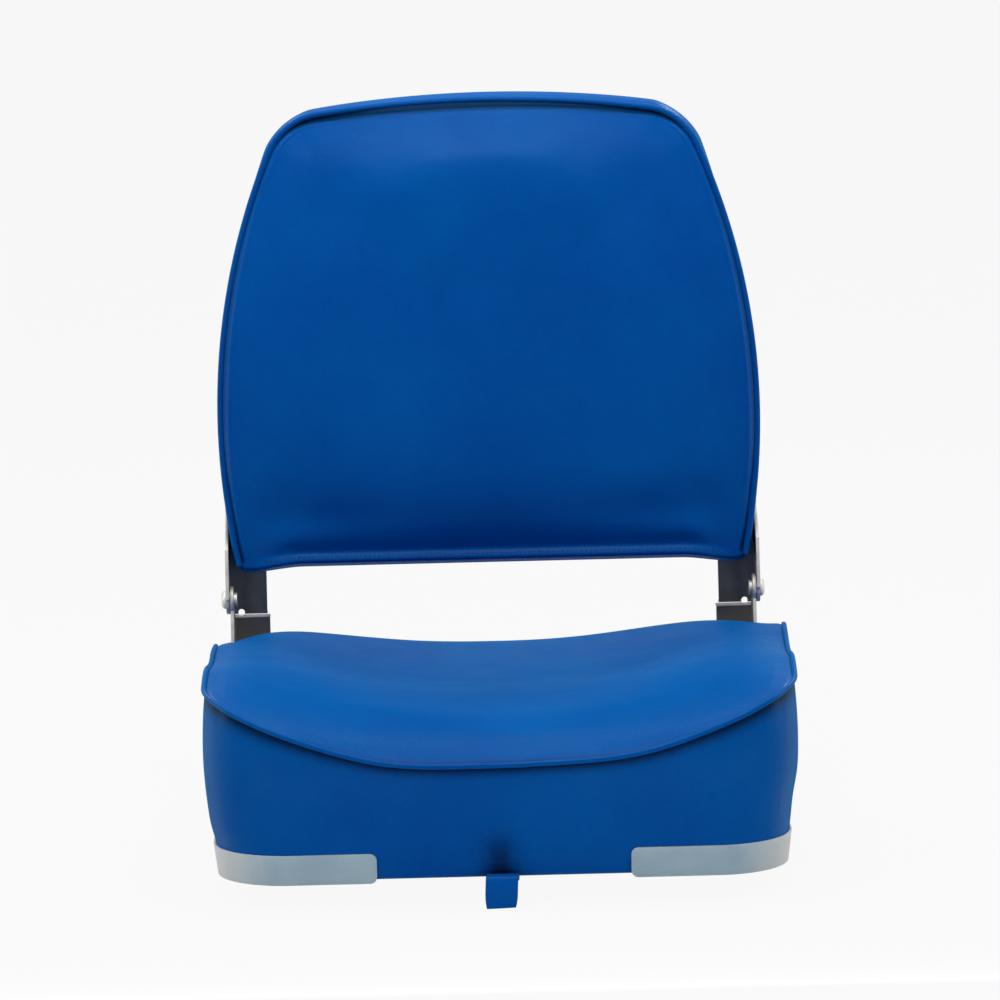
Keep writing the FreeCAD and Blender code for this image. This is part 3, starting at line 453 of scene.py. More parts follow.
vinyl = makeVinyl()
thread = makeThread()
bracketFaceShade = makeBracketFaceShade()
bracketEdgeHighlight = makeBracketEdgeHighlight()
plating = makePlating()
guardMilk = makeGuardPlastic("milkyGuard", (0.35, 0.50, 0.61), (0.45, 0.60, 0.70), 0.25)
guardRim = makeGuardPlastic("guardRim", (0.64, 0.65, 0.60), (0.76, 0.75, 0.68), 0.1)
plywood = makePlywood()
print("finishes made")


# outlines: four sides from corner to corner, and grids between them

def arcPoints(centre, radius, start, end, steps=24):
    turns = [math.radians(start + (end - start) * step / steps) for step in range(steps + 1)]
    return [(centre[0] + radius * math.cos(turn), centre[1] + radius * math.sin(turn)) for turn in turns]


def resample(side, shares):
    lengths = [0.0]
    for (x0, y0), (x1, y1) in zip(side, side[1:]):
        lengths.append(lengths[-1] + math.hypot(x1 - x0, y1 - y0))
    found, k = [], 0
    for share in shares:
        want = share * lengths[-1]
        while k < len(side) - 2 and lengths[k + 1] < want:
            k += 1
        span = lengths[k + 1] - lengths[k]
        part = (want - lengths[k]) / span if span > 1e-12 else 0.0
        found.append(tuple(a + (b - a) * part for a, b in zip(side[k], side[k + 1])))
    return found


def gatheredShares(cells, gather):  # closer together towards both ends
    steps = [step / cells for step in range(cells + 1)]
    return [t - gather / (2 * math.pi) * math.sin(2 * math.pi * t) for t in steps]


def ringPoints(sides, shares):
    return [point for side in sides for point in resample(side, shares)[:-1]]


def gridPoints(sides, shares):
    low, right = resample(sides[0], shares), resample(sides[1], shares)
    high, left = resample(sides[2], shares)[::-1], resample(sides[3], shares)[::-1]
    rows = []
    for j, v in enumerate(shares):
        row = []
        for i, u in enumerate(shares):
            spot = []
            for axis in (0, 1):
                upward = (1 - v) * low[i][axis] + v * high[i][axis]
                edges = upward + (1 - u) * left[j][axis] + u * right[j][axis]
                ends = (1 - u) * (1 - v) * low[0][axis] + u * (1 - v) * low[-1][axis]
                ends += (1 - u) * v * high[0][axis] + u * v * high[-1][axis]
                spot.append(edges - ends)
            row.append(tuple(spot))
        rows.append(row)
    return rows


def rimOrder(cells):  # places of the grid's rim, round from the first corner
    wide = cells + 1
    rim = [i for i in range(cells)]
    rim += [j * wide + cells for j in range(cells)]
    rim += [cells * wide + i for i in range(cells, 0, -1)]
    rim += [j * wide for j in range(cells, 0, -1)]
    return rim


def cushionFaces(cells, ringCount):
    wide = cells + 1
    faces = [(j * wide + i, j * wide + i + 1, (j + 1) * wide + i + 1, (j + 1) * wide + i)
             for j in range(cells) for i in range(cells)]
    around = 4 * cells
    upper = rimOrder(cells)
    for ring in range(ringCount):
        lower = [wide * wide + ring * around + k for k in range(around)]
        faces += [(upper[k], lower[k], lower[(k + 1) % around], upper[(k + 1) % around])
                  for k in range(around)]
        upper = lower
    middle = wide * wide + ringCount * around
    faces += [(upper[(k + 1) % around], upper[k], middle) for k in range(around)]
    return faces


def nearnessTo(line):
    tree = kdtree.KDTree(len(line))
    for k, point in enumerate(line):
        tree.insert(Vector((point[0], point[1], 0)), k)
    tree.balance()
    return lambda x, y: tree.find(Vector((x, y, 0)))[2]


def cadTree(*names):
    points, faces = [], []
    for name in names:
        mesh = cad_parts[name].data
        first = len(points)
        points += [vertex.co.copy() for vertex in mesh.vertices]
        faces += [tuple(first + k for k in face.vertices) for face in mesh.polygons]
    return BVHTree.FromPolygons(points, faces)


clothRun = {"frames": 20, "pressure": 4.0, "quality": 5, "evenOut": 14}


def inflate(piece, pins, caps):
    start = [vertex.co.copy() for vertex in piece.data.vertices]
    group = piece.vertex_groups.new(name="sewn")
    group.add(pins, 1.0, "REPLACE")
    cloth = addModifier(piece, "CLOTH")
    cloth.settings.vertex_group_mass = "sewn"
    cloth.settings.quality = clothRun["quality"]
    cloth.settings.use_pressure = True
    cloth.settings.uniform_pressure_force = clothRun["pressure"]
    cloth.settings.effector_weights.gravity = 0
    cloth.point_cache.frame_start = 1
    cloth.point_cache.frame_end = clothRun["frames"]
    for step in range(1, clothRun["frames"] + 1):
        scene.frame_set(step)
    applyModifiers(piece)
    moves = [vertex.co - rest for vertex, rest in zip(piece.data.vertices, start)]
    print(piece.name, "cloth moved at most", round(max(move.length for move in moves) * 1000, 1), "mm")
    moves = [move * min(1, cap / max(move.length, 1e-9)) for move, cap in zip(moves, caps)]
    beside = [[] for _ in start]
    for edge in piece.data.edges:
        a, b = edge.vertices
        beside[a].append(b)
        beside[b].append(a)
    free = sorted(set(range(len(start))) - set(pins))
    for _ in range(clothRun["evenOut"]):  # taut vinyl keeps no small ripples
        evened = list(moves)
        for k in free:
            evened[k] = (moves[k] + sum((moves[n] for n in beside[k]), Vector())) / (len(beside[k]) + 1)
        moves = evened
    for vertex, rest, move in zip(piece.data.vertices, start, moves):
        vertex.co = rest + move
    piece.vertex_groups.clear()
    scene.frame_set(1)


def closeRound(piece, levels):  # the inner end is opened for the subdivision and filled after it
    selectOnly(piece)
    for item in (*piece.data.vertices, *piece.data.edges, *piece.data.polygons):
        item.select = False
    piece.data.vertices[-1].select = True
    bpy.ops.object.mode_set(mode="EDIT")
    bpy.ops.mesh.select_mode(type="VERT")
    bpy.ops.mesh.delete(type="VERT")
    bpy.ops.object.mode_set(mode="OBJECT")
    subdivide(piece, levels)
    bpy.ops.object.mode_set(mode="EDIT")
    bpy.ops.mesh.select_mode(type="EDGE")
    bpy.ops.mesh.select_all(action="DESELECT")
    bpy.ops.mesh.select_non_manifold()
    bpy.ops.mesh.edge_face_add()
    bpy.ops.object.mode_set(mode="OBJECT")


# stores each point's share of painted shade, which the vinyl colour reads
def writeShade(piece, values):
    shade = piece.data.attributes.new("seamShade", "FLOAT", "POINT")
    shade.data.foreach_set("value", values)


def tube(name, path, radius, material, sides=6):
    line = bpy.data.curves.new(name, "CURVE")
    line.dimensions = "3D"
    spline = line.splines.new("POLY")
    spline.points.add(len(path) - 1)
    for knot, place in zip(spline.points, path):
        knot.co = (*place, 1)
    line.bevel_depth = radius
    line.bevel_resolution = sides
    line.use_fill_caps = True
    piece = bpy.data.objects.new(name, line)
    scene.collection.objects.link(piece)
    selectOnly(piece)
    bpy.ops.object.convert(target="MESH")
    piece = bpy.context.object
    piece.name = name
    cleanMesh(piece, weld=0.02 * mm)
    setMaterials(piece, material)
    smoothShade(piece, 50)
    return piece


# seat cushion: dished top panel, boxing drawn in at the board, hem under the board

seatForm = {
    "half": 210 * mm, "front": -209 * mm, "rear": 200 * mm, "frontCorner": 58 * mm, "rearCorner": 14 * mm,
    "cells": 96, "gather": 0.62, "evenOut": 90, "step": 10 * mm, "openRear": 16 * mm,
    "seamLift": 1.2 * mm, "seamLiftWide": 28 * mm, "seamDip": 1.4 * mm, "seamDipWide": 4 * mm,
    "frontLift": 6.0 * mm, "frontLiftWide": 62 * mm, "frontMiddle": 8 * mm,
    "frontStraight": (10 * mm, 108 * mm), "rearRoll": 6 * mm, "rearRollWide": 16 * mm,
    "pillow": [(0, 0), (6 * mm, 1.2 * mm), (16 * mm, 3.2 * mm), (34 * mm, 4.2 * mm), (70 * mm, 2.6 * mm),
               (120 * mm, 0)],
    "pillowAlong": (20 * mm, 110 * mm),
    "dish": [(0, 0), (30 * mm, 0), (70 * mm, -2.8 * mm), (100 * mm, -3.2 * mm), (135 * mm, -0.8 * mm),
             (165 * mm, 1.2 * mm), (215 * mm, 0.8 * mm)],
    "dishAlong": (-80 * mm, 100 * mm),
    "cornerDrop": (8.0 * mm, 1.5 * mm), "dropAcross": (170 * mm, 206 * mm), "dropAlong": (80 * mm, 170 * mm),
    "slit": (196 * mm, 205 * mm), "slitFrom": 120 * mm, "besideSlit": (195 * mm, 206.5 * mm), "rayFrom": 0.3,
    "flareLeft": (3.5 * mm, -80 * mm, 150 * mm), "flareRight": (12.5 * mm, -160 * mm, 110 * mm),
    "flareFade": (8 * mm, 60 * mm),
    "draw": [(-20 * mm, 10.1 * mm), (25.9 * mm, 4.1 * mm), (85 * mm, 0.0), (180 * mm, 2.0 * mm)],
    "rings": [0.03, 0.07, 0.12, 0.18, 0.25, 0.32, 0.39, 0.46, 0.53, 0.6, 0.67, 0.73, 0.79, 0.84, 0.89,
              0.93, 0.96],
    "boxingLow": 4.5 * mm, "sewnFrom": 0.9, "leftFuller": 2.6 * mm, "rightFuller": 2.4 * mm,
    "fullerAcross": (120 * mm, 200 * mm), "leftFullerUp": (20 * mm, 34 * mm),
    "rightFullerUp": (40 * mm, 66 * mm),
    "hem": [(2.2, 0.3, 0.2), (0.6, 0.9, 0.2), (-0.6, 2.2, 0.7), (-1.2, 4.2, 1.4), (-1.2, 12, 2.5),
            (-1.2, 22, 3), (3, 22.6, 4), (6, 34, 6)],
    "drawAtHem": 2 * mm, "footAlong": (116 * mm, 134 * mm), "middleUp": 7 * mm,
    "topCap": 2.6 * mm, "capEdge": 16 * mm, "capMiddle": (40 * mm, 120 * mm), "capRear": (150 * mm, 190 * mm),
    "sideCap": 3.6 * mm, "bellyUp": (20 * mm, 42 * mm), "hingeAlong": (120 * mm, 190 * mm),
    "dimple": [(-2 * mm, 0.2 * mm), (11 * mm, 1.2 * mm), (18 * mm, 5.8 * mm), (26 * mm, 4.2 * mm),
               (44 * mm, 0.0)],
    "dimpleWide": 11 * mm, "dimpleFront": -190 * mm, "dimpleTop": 44 * mm, "dimpleShade": (6 * mm, 42 * mm),
    "pullAt": -2.8 * mm, "shadeWide": (0.7 * mm, 2.3 * mm), "boxingShade": (0.03, 0.10),
    "pucker": 0.25 * mm, "puckerAbove": 50 * mm, "puckerFrom": 1.5 * mm, "puckerWide": 22 * mm, "seed": 7,
}
seatTree = cadTree("seat_top_panel")


def rearFlare(x, y):  # the foam pushes the cover out a little beside the hinges
    reach, near, far = seatForm["flareLeft"] if x < 0 else seatForm["flareRight"]
    return reach * ease(y, near, far)


def seatSides(inset):
    form = seatForm
    half, near, far = form["half"] - inset, form["front"] + inset, form["rear"]
    frontRadius, rearRadius = form["frontCorner"] - inset, form["rearCorner"]
    frontRight, rearRight = (half - frontRadius, near + frontRadius), (half - rearRadius, far - rearRadius)
    frontLeft, rearLeft = (-frontRight[0], frontRight[1]), (-rearRight[0], rearRight[1])
    sides = [arcPoints(frontLeft, frontRadius, 225, 270) + arcPoints(frontRight, frontRadius, 270, 315),
             arcPoints(frontRight, frontRadius, 315, 360) + arcPoints(rearRight, rearRadius, 0, 45),
             arcPoints(rearRight, rearRadius, 45, 90) + arcPoints(rearLeft, rearRadius, 90, 135),
             arcPoints(rearLeft, rearRadius, 135, 180) + arcPoints(frontLeft, frontRadius, 180, 225)]

    def flared(x, y):
        return x + math.copysign(rearFlare(x, y), x) * min(abs(x) / half, 1), y

    return [[flared(x, y) for x, y in side] for side in sides]


def seatHeight(x, y):
    form = seatForm
    left, right = form["cornerDrop"]
    sag = (left if x < 0 else right) * ease(abs(x), *form["dropAcross"]) * ease(y, *form["dropAlong"])
    settle = lookUp(form["dish"], abs(x)) * ease(y, *form["dishAlong"]) - sag
    slitNear, slitFar = form["slit"]
    inSlit = slitNear < abs(x) < slitFar and y > form["slitFrom"]
    for inward in (0.993, 0.985, 0.97, 0.94):  # further in where the ray misses the rim
        across = [min(abs(x), form["half"]) * inward]
        if inSlit:  # sampled either side of the slits for the hinge gussets
            besideNear, besideFar = form["besideSlit"]
            across = [besideNear, besideFar * inward]
        spots = [Vector((math.copysign(spot, x), y * inward, form["rayFrom"])) for spot in across]
        hits = [seatTree.ray_cast(spot, Vector((0, 0, -1)))[0] for spot in spots]
        heights = [hit.z for hit in hits if hit is not None]
        if heights:
            break
    return sum(heights) / len(heights) + settle


def buildSeatCushion():
    form = seatForm
    shares = gatheredShares(form["cells"], form["gather"])
    outline = ringPoints(seatSides(0), shares)
    step = form["step"]
    inner = ringPoints(seatSides(step), shares)
    seamEnd = form["rear"] - form["openRear"]
    seamLine = [point for point in outline if point[1] < seamEnd]
    rearLine = [point for point in outline if point[1] >= seamEnd]
    toSeam, toRear = nearnessTo(seamLine), nearnessTo(rearLine)

    def topAt(x, y, height):
        gap = toSeam(x, y)
        dip = form["seamDip"] * (1 - ease(gap, 0, form["seamDipWide"]))
        lift = form["seamLift"] * (1 - ease(gap, 0, form["seamLiftWide"]))
        middle = 1 - ease(abs(x - form["frontMiddle"]), *form["frontStraight"])  # straighter in the middle
        lift += form["frontLift"] * middle * (1 - ease(y, form["front"], form["front"] + form["frontLiftWide"]))
        roll = form["rearRoll"] * (1 - ease(toRear(x, y), 0, form["rearRollWide"])) ** 2
        lift += lookUp(form["pillow"], gap) * (1 - ease(y, *form["pillowAlong"]))
        return height + lift - max(dip, roll)

    points, caps, shades = [], [], []
    grid = gridPoints(seatSides(0), shares)
    heights = evenGrid([[seatHeight(x, y) for x, y in row] for row in grid], form["evenOut"])
    for row, levels in zip(grid, heights):
        for (x, y), height in zip(row, levels):
            gap = min(toSeam(x, y), toRear(x, y))
            points.append((x, y, topAt(x, y, height)))
            edgeShare = ease(gap, 0, form["capEdge"]) * (1 - 0.55 * ease(gap, *form["capMiddle"]))
            rearShare = 1 - 0.75 * ease(y, *form["capRear"])
            caps.append(form["topCap"] * edgeShare * rearShare)
            # painted shade: the top panel darkens along the seam groove
            shades.append(1 - ease(toSeam(x, y), *form["shadeWide"]))
    rim = rimOrder(form["cells"])
    seam = [points[k] for k in rim]
    pins = list(rim)

    def addRing(level, inset, cap, shade, sewn=False):
        for k, (a, b) in enumerate(zip(outline, inner)):
            place, push = level(k), inset(k)
            spot = [a[axis] + (b[axis] - a[axis]) * push / step for axis in (0, 1)]
            if sewn:
                pins.append(len(points))
            points.append((*spot, place))
            caps.append(cap(k))
            shades.append(shade)

    for share in form["rings"]:
        def level(k, share=share):
            return seam[k][2] + (form["boxingLow"] - seam[k][2]) * share

        def draw(k):
            z = level(k)
            x, y = outline[k]
            left = form["leftFuller"] * ease(-x, *form["fullerAcross"]) * ease(z, *form["leftFullerUp"])
            right = form["rightFuller"] * ease(x, *form["fullerAcross"]) * ease(z, *form["rightFullerUp"])
            full = (left + right) * math.sin(math.pi * share) ** 0.5
            return lookUp(form["draw"], z) + rearFlare(x, y) * (1 - ease(z, *form["flareFade"])) - full

        def cap(k):
            z = level(k)
            belly = ease(z, *form["bellyUp"]) * math.sin(math.pi * min(share * 1.05, 1)) ** 0.7
            nearHinge = ease(outline[k][1], *form["hingeAlong"])
            return form["sideCap"] * belly * (1 - 0.8 * nearHinge)

        # painted shade: the boxing darkens just below the welt
        addRing(level, draw, cap, 1 - ease(share, *form["boxingShade"]), sewn=share > form["sewnFrom"])

    def rearLift(k):  # no hem over the hinge feet
        return ease(outline[k][1], *form["footAlong"])

    for low, inward, lifted in form["hem"]:
        def hemLevel(k):
            return (low + (max(lifted, low) - low) * rearLift(k)) * mm

        def hemInset(k):
            return lookUp(form["draw"], form["drawAtHem"]) + inward * mm + rearFlare(*outline[k])

        addRing(hemLevel, hemInset, lambda k: 0.0, 0.0, sewn=True)
    pins.append(len(points))
    points.append((0, 0, form["middleUp"]))
    caps.append(0.0)
    shades.append(0.0)
    ringCount = len(form["rings"]) + len(form["hem"])
    piece = meshPiece("seatCushion", points, cushionFaces(form["cells"], ringCount))
    inflate(piece, pins, caps)
    dice = random.Random(form["seed"])
    waves = [(dice.uniform(40, 110), dice.uniform(0, 6.28)) for _ in range(4)]
    for vertex in piece.data.vertices:
        x, y, z = vertex.co
        beside = math.exp(-((x - form["pullAt"]) / form["dimpleWide"]) ** 2)
        if y < form["dimpleFront"] and z < form["dimpleTop"]:
            vertex.co.y += lookUp(form["dimple"], z) * beside
            # painted shade: the dimple above the strap is darkened
            dark = beside * (1 - ease(z, *form["dimpleShade"])) ** 1.2
            shades[vertex.index] = max(shades[vertex.index], dark)
        gap = toSeam(x, y)
        if z > form["puckerAbove"] and form["puckerFrom"] < gap < form["puckerWide"]:
            around = math.atan2(y, x)
            pull = sum(math.sin(many * around + shift) for many, shift in waves) / len(waves)
            vertex.co.z += form["pucker"] * pull * math.sin(math.pi * gap / form["puckerWide"])
    writeShade(piece, shades)
    setMaterials(piece, vinyl)
    closeRound(piece, 1)
    smoothShade(piece)
    return piece, seam, outline


seatCushion, seatSeam, seatOutline = buildSeatCushion()
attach(seatCushion, "seat")
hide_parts("seat_foam", "seat_top_panel", "seat_boxing")
print("seat cushion done")

seatWeltForm = {"radius": 1.9 * mm, "out": 0.7 * mm, "up": 0.7 * mm, "endAt": 181 * mm}


def buildSeatWelt():
    form = seatWeltForm
    count = len(seatOutline)
    along = [k for k, point in enumerate(seatOutline) if point[1] <= form["endAt"]]
    leftEnd = max((seatOutline[k][1], k) for k in along if seatOutline[k][0] < 0)[1]
    path = []
    for k in sorted(along, key=lambda k: (k - leftEnd) % count):
        before, after = seatOutline[k - 1], seatOutline[(k + 1) % count]
        way = Vector((after[0] - before[0], after[1] - before[1], 0)).normalized()
        outward = Vector((way.y, -way.x, 0))
        path.append(Vector(seatSeam[k]) + Vector((0, 0, form["up"])) + outward * form["out"])
    return tube("seatWelt", path, form["radius"], vinyl)


seatWelt = buildSeatWelt()
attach(seatWelt, "seat")
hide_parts("seat_welt")
print("seat piping done")


# backrest, drawn upright about the pivot: x across, up from the pivot, depth forward from the rear face

backForm = {
    "pivot": (180 * mm, 137 * mm), "lean": 10, "rearPlane": 23.7 * mm, "rayFrom": 0.12,
    "half": 207.3 * mm, "bottom": 24 * mm, "high": 357 * mm, "widest": 115 * mm, "sideArc": 520 * mm,
    "corner": 49 * mm, "topArc": 930 * mm, "footCorner": 8 * mm, "footLeast": 3 * mm,
    "cells": 96, "gather": 0.62, "evenOut": 8, "step": 10 * mm,
    "seamInset": 3.4 * mm, "seamDepth": 33 * mm, "wallDrop": 6.5 * mm, "wallWide": 4.5 * mm,
    "armFace": 201.6 * mm, "armSpread": 30 * mm, "armAhead": (2 * mm, 14 * mm),
    "flange": [(38 * mm, 37 * mm), (58 * mm, 14 * mm), (80 * mm, -4 * mm), (90 * mm, -20 * mm)],
    "topBulge": 6.0 * mm, "topSkew": 1.4 * mm, "sideBulge": 0.8 * mm,
    "topGroove": [(-130 * mm, 2.0 * mm), (-40 * mm, 2.4 * mm), (64 * mm, 1.8 * mm), (130 * mm, 1.4 * mm)],
    "grooveUnder": (24 * mm, 6 * mm), "topUnder": (34 * mm, 10 * mm),
    "hang": 3.5 * mm, "hangAcross": (145 * mm, 186 * mm), "hangUp": (26 * mm, 80 * mm),
    "puff": [(3 * mm, 0.0), (11 * mm, 2.6 * mm), (22 * mm, 5.4 * mm), (42 * mm, 7.8 * mm), (75 * mm, 7.4 * mm),
             (160 * mm, 3.0 * mm)],
    "puffUp": (34 * mm, 96 * mm),
    "hem": [(3.4 * mm, 45.4 * mm), (5.5 * mm, 45.7 * mm), (7.5 * mm, 44.8 * mm), (10.5 * mm, 43.1 * mm),
            (14 * mm, 44.6 * mm), (20 * mm, 47.6 * mm), (30 * mm, 50.6 * mm), (46 * mm, 52.6 * mm)],
    "hemUp": (18 * mm, 46 * mm), "hemAcross": (150 * mm, 188 * mm), "stitchUp": 7.0 * mm,
    "rings": [0.06, 0.13, 0.21, 0.3, 0.39, 0.48, 0.57, 0.66, 0.75, 0.84, 0.92, 0.98],
    "draw": [(0.0, 3.0 * mm), (17 * mm, 0.2 * mm), (34 * mm, 1.6 * mm)], "boxingBack": 0.6 * mm,
    "closing": [(0.9, 3.4), (1.7, 4.6), (4.0, 8.0)], "middleDeep": 5 * mm,
    "frontCap": 2.0 * mm, "capEdge": 9 * mm, "capMiddle": (40 * mm, 110 * mm),
    "boxCap": 1.2 * mm, "boxCapUp": (84 * mm, 110 * mm), "boxingShade": (0.0, 0.12),
}
leanSin, leanCos = math.sin(math.radians(backForm["lean"])), math.cos(math.radians(backForm["lean"]))
backward = Vector((0, leanCos, -leanSin))
backTree = cadTree("back_front_panel")


def backPoint(x, up, depth):
    along = backForm["rearPlane"] - depth
    pivotY, pivotZ = backForm["pivot"]
    return Vector((x, pivotY + along * leanCos + up * leanSin, pivotZ - along * leanSin + up * leanCos))


def mirrored(side):
    return [(-x, up) for x, up in side[::-1]]


def backSides(inset):
    form = backForm
    foot = max(form["footCorner"] - inset, form["footLeast"])
    low = form["bottom"] + inset
    sideCentre = Vector((form["half"] - form["sideArc"], form["bottom"] + form["widest"]))
    topCentre = Vector((0, form["bottom"] + form["high"] - form["topArc"]))
    between = sideCentre - topCentre
    toTop, toSide, span = form["topArc"] - form["corner"], form["sideArc"] - form["corner"], between.length
    along = (toTop ** 2 - toSide ** 2 + span ** 2) / (2 * span)
    across = math.sqrt(toTop ** 2 - along ** 2)
    way = between.normalized()
    options = [topCentre + way * along + Vector((-way.y, way.x)) * (sign * across) for sign in (-1, 1)]
    cornerCentre = max(options, key=lambda spot: spot.x)
    footUp = low + foot
    sideRadius = form["sideArc"] - inset
    footX = sideCentre.x + math.sqrt((sideRadius - foot) ** 2 - (footUp - sideCentre.y) ** 2)
    footCentre = Vector((footX, footUp))

    def turnTo(start, end):
        return math.degrees(math.atan2(end.y - start.y, end.x - start.x))

    footTurn = turnTo(sideCentre, footCentre)
    cornerTurn = turnTo(sideCentre, cornerCentre)
    topTurn = turnTo(topCentre, cornerCentre)
    footMid, cornerMid = (footTurn - 90) / 2, (cornerTurn + topTurn) / 2
    cornerRadius, topRadius = form["corner"] - inset, form["topArc"] - inset
    lowRight = arcPoints(footCentre, foot, -90, footMid)
    right = arcPoints(footCentre, foot, footMid, footTurn)
    right += arcPoints(sideCentre, sideRadius, footTurn, cornerTurn, 60)[1:]
    right += arcPoints(cornerCentre, cornerRadius, cornerTurn, cornerMid)[1:]
    topRight = arcPoints(cornerCentre, cornerRadius, cornerMid, topTurn)
    topRight += arcPoints(topCentre, topRadius, topTurn, 90, 40)[1:]
    return [mirrored(lowRight) + lowRight, right, topRight + mirrored(topRight)[1:], mirrored(right)]


def besideArms(x, up, depth):  # the hinge arms' flanges stand close outside the cover
    ahead = depth - lookUp(backForm["flange"], up)
    limit = backForm["armFace"] + backForm["armSpread"] * ease(ahead, *backForm["armAhead"])
    return math.copysign(min(abs(x), limit), x)


def backDepth(x, up):
    middle = backForm["bottom"] + backForm["high"] / 2
    for nudge in (0.997, 0.985, 0.97, 0.95):  # further in where the ray misses the rim
        start = backPoint(x * nudge, middle + (up - middle) * nudge, backForm["rayFrom"])
        hit = backTree.ray_cast(start, backward)
        if hit[0] is not None:
            return backForm["rayFrom"] - hit[3]
    return backForm["seamDepth"]


def cornerHang(x, up):  # the lower corners hang a little over the hinge arms
    return backForm["hang"] * ease(abs(x), *backForm["hangAcross"]) * (1 - ease(up, *backForm["hangUp"]))


def buildBackCushion():
    form = backForm
    shares = gatheredShares(form["cells"], form["gather"])
    top = form["bottom"] + form["high"]
    grooveFrom, grooveFull = (top - under for under in form["grooveUnder"])
    topFrom, topFull = (top - under for under in form["topUnder"])

    def grooved(x, up):
        return x, up - lookUp(form["topGroove"], x) * ease(up, grooveFrom, grooveFull)

    sides = [[grooved(x, up) for x, up in side] for side in backSides(form["seamInset"])]
    outline = ringPoints(sides, shares)
    atRest = ringPoints(backSides(0), shares)
    step = form["step"]
    inner = ringPoints(backSides(step), shares)
    bottomEnd = form["bottom"] + form["footCorner"]
    seamLine = [point for point in outline if point[1] > bottomEnd]
    toSeam, toEdge = nearnessTo(seamLine), nearnessTo(outline)
    points, caps, shades = [], [], []
    grid = gridPoints(sides, shares)
    depths = evenGrid([[backDepth(x, up) for x, up in row] for row in grid], form["evenOut"])
    for row, rowDepths in zip(grid, depths):
        for (x, up), depth in zip(row, rowDepths):
            gap, seamGap = toEdge(x, up), toSeam(x, up)
            topShare = ease(up, topFrom, topFull)
            wall = (1 - ease(seamGap, 0, form["wallWide"])) ** 1.4
            drop = form["wallDrop"] * (0.6 + 0.4 * topShare) * wall
            puff = lookUp(form["puff"], seamGap) * ease(up, *form["puffUp"])
            depth += puff - drop
            low = up - form["bottom"]
            sewn = (1 - ease(low, *form["hemUp"])) * (1 - ease(abs(x), *form["hemAcross"]))
            depth += (lookUp(form["hem"], low) - depth) * sewn
            points.append((x, up - cornerHang(x, up), depth))
            cap = form["frontCap"] * ease(gap, 0, form["capEdge"]) * (1 - 0.6 * ease(gap, *form["capMiddle"]))
            caps.append(cap * (1 - sewn))
            # painted shade: a dark line along the seam groove, wider and darker along the top
            line = 1 - ease(seamGap, (0.3 + 1.7 * topShare) * mm, (1.9 + 3.3 * topShare) * mm)
            shades.append(line * (0.72 + 0.28 * topShare))
    rim = rimOrder(form["cells"])
    pins = list(rim)
    rims = [points[k] for k in rim]

    def addRing(depth, inset, cap, shade, sewn=False):
        for k, (a, b) in enumerate(zip(atRest, inner)):
            x, up = (a[axis] + (b[axis] - a[axis]) * inset(k) / step for axis in (0, 1))
            x = besideArms(x, up, depth(k))
            if sewn:
                pins.append(len(points))
            points.append((x, up - cornerHang(x, up), depth(k)))
            caps.append(cap(k))
            shades.append(shade)

    for share in form["rings"]:
        def depth(k, share=share):
            return rims[k][2] + (form["boxingBack"] - rims[k][2]) * share

        def upward(k):
            return (atRest[k][1] - inner[k][1]) / step

        def inset(k):
            rise = ease(upward(k), 0.45, 0.97)
            topBulge = form["topBulge"] + form["topSkew"] * atRest[k][0] / form["half"]
            bulge = form["sideBulge"] + (topBulge - form["sideBulge"]) * rise
            bulge *= math.sin(math.pi * min(share * 1.15, 1))
            return lookUp(form["draw"], depth(k)) - bulge * ease(upward(k), -0.9, 0)

        def cap(k):
            aboveArms = ease(atRest[k][1], *form["boxCapUp"])
            return form["boxCap"] * math.sin(math.pi * share) * aboveArms

        # painted shade: the boxing darkens next to the welt
        addRing(depth, inset, cap, 1 - ease(share, *form["boxingShade"]))
    for deep, inward in form["closing"]:
        addRing(lambda k: deep * mm, lambda k: inward * mm, lambda k: 0.0, 0.0, sewn=True)
    pins.append(len(points))
    points.append((0, form["bottom"] + form["high"] / 2, form["middleDeep"]))
    caps.append(0.0)
    shades.append(0.0)
    placed = [backPoint(*point) for point in points]
    ringCount = len(form["rings"]) + len(form["closing"])
    piece = meshPiece("backCushion", placed, cushionFaces(form["cells"], ringCount))
    inflate(piece, pins, caps)
    writeShade(piece, shades)
    setMaterials(piece, vinyl)
    closeRound(piece, 1)
    smoothShade(piece)
    return piece


backCushion = buildBackCushion()
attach(backCushion, "backrest")
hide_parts("back_foam", "back_front_panel", "back_boxing")
print("back cushion done")

backWeltForm = {"radius": 2.4 * mm, "inset": 1.3 * mm, "depth": 33.6 * mm, "endUp": 28 * mm, "steps": 120}


def buildBackWelt():
    form = backWeltForm
    sides = backSides(form["inset"])
    shares = [step / form["steps"] for step in range(form["steps"] + 1)]
    line = resample(sides[1], shares)[:-1] + resample(sides[2], shares)[:-1] + resample(sides[3], shares)
    line = [(x, up - cornerHang(x, up)) for x, up in line if up > form["endUp"]]
    return tube("backWelt", [backPoint(x, up, form["depth"]) for x, up in line], form["radius"], vinyl)


backWelt = buildBackWelt()
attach(backWelt, "backrest")
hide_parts("back_welt")

rearPanelForm = {
    "inset": 3.2 * mm, "cells": 60, "gather": 0.5, "proud": 0.2 * mm, "belly": 2.4 * mm, "bellyWide": 60 * mm,
    "armClear": 166 * mm, "clearWide": 40 * mm, "aboveArms": (165 * mm, 200 * mm),
    "edge": 0.7 * mm, "edgeWide": 4 * mm, "step": 10, "turnIn": [(1.0, 0.0), (1.6, 1.5), (2.6, 6.0)],
}


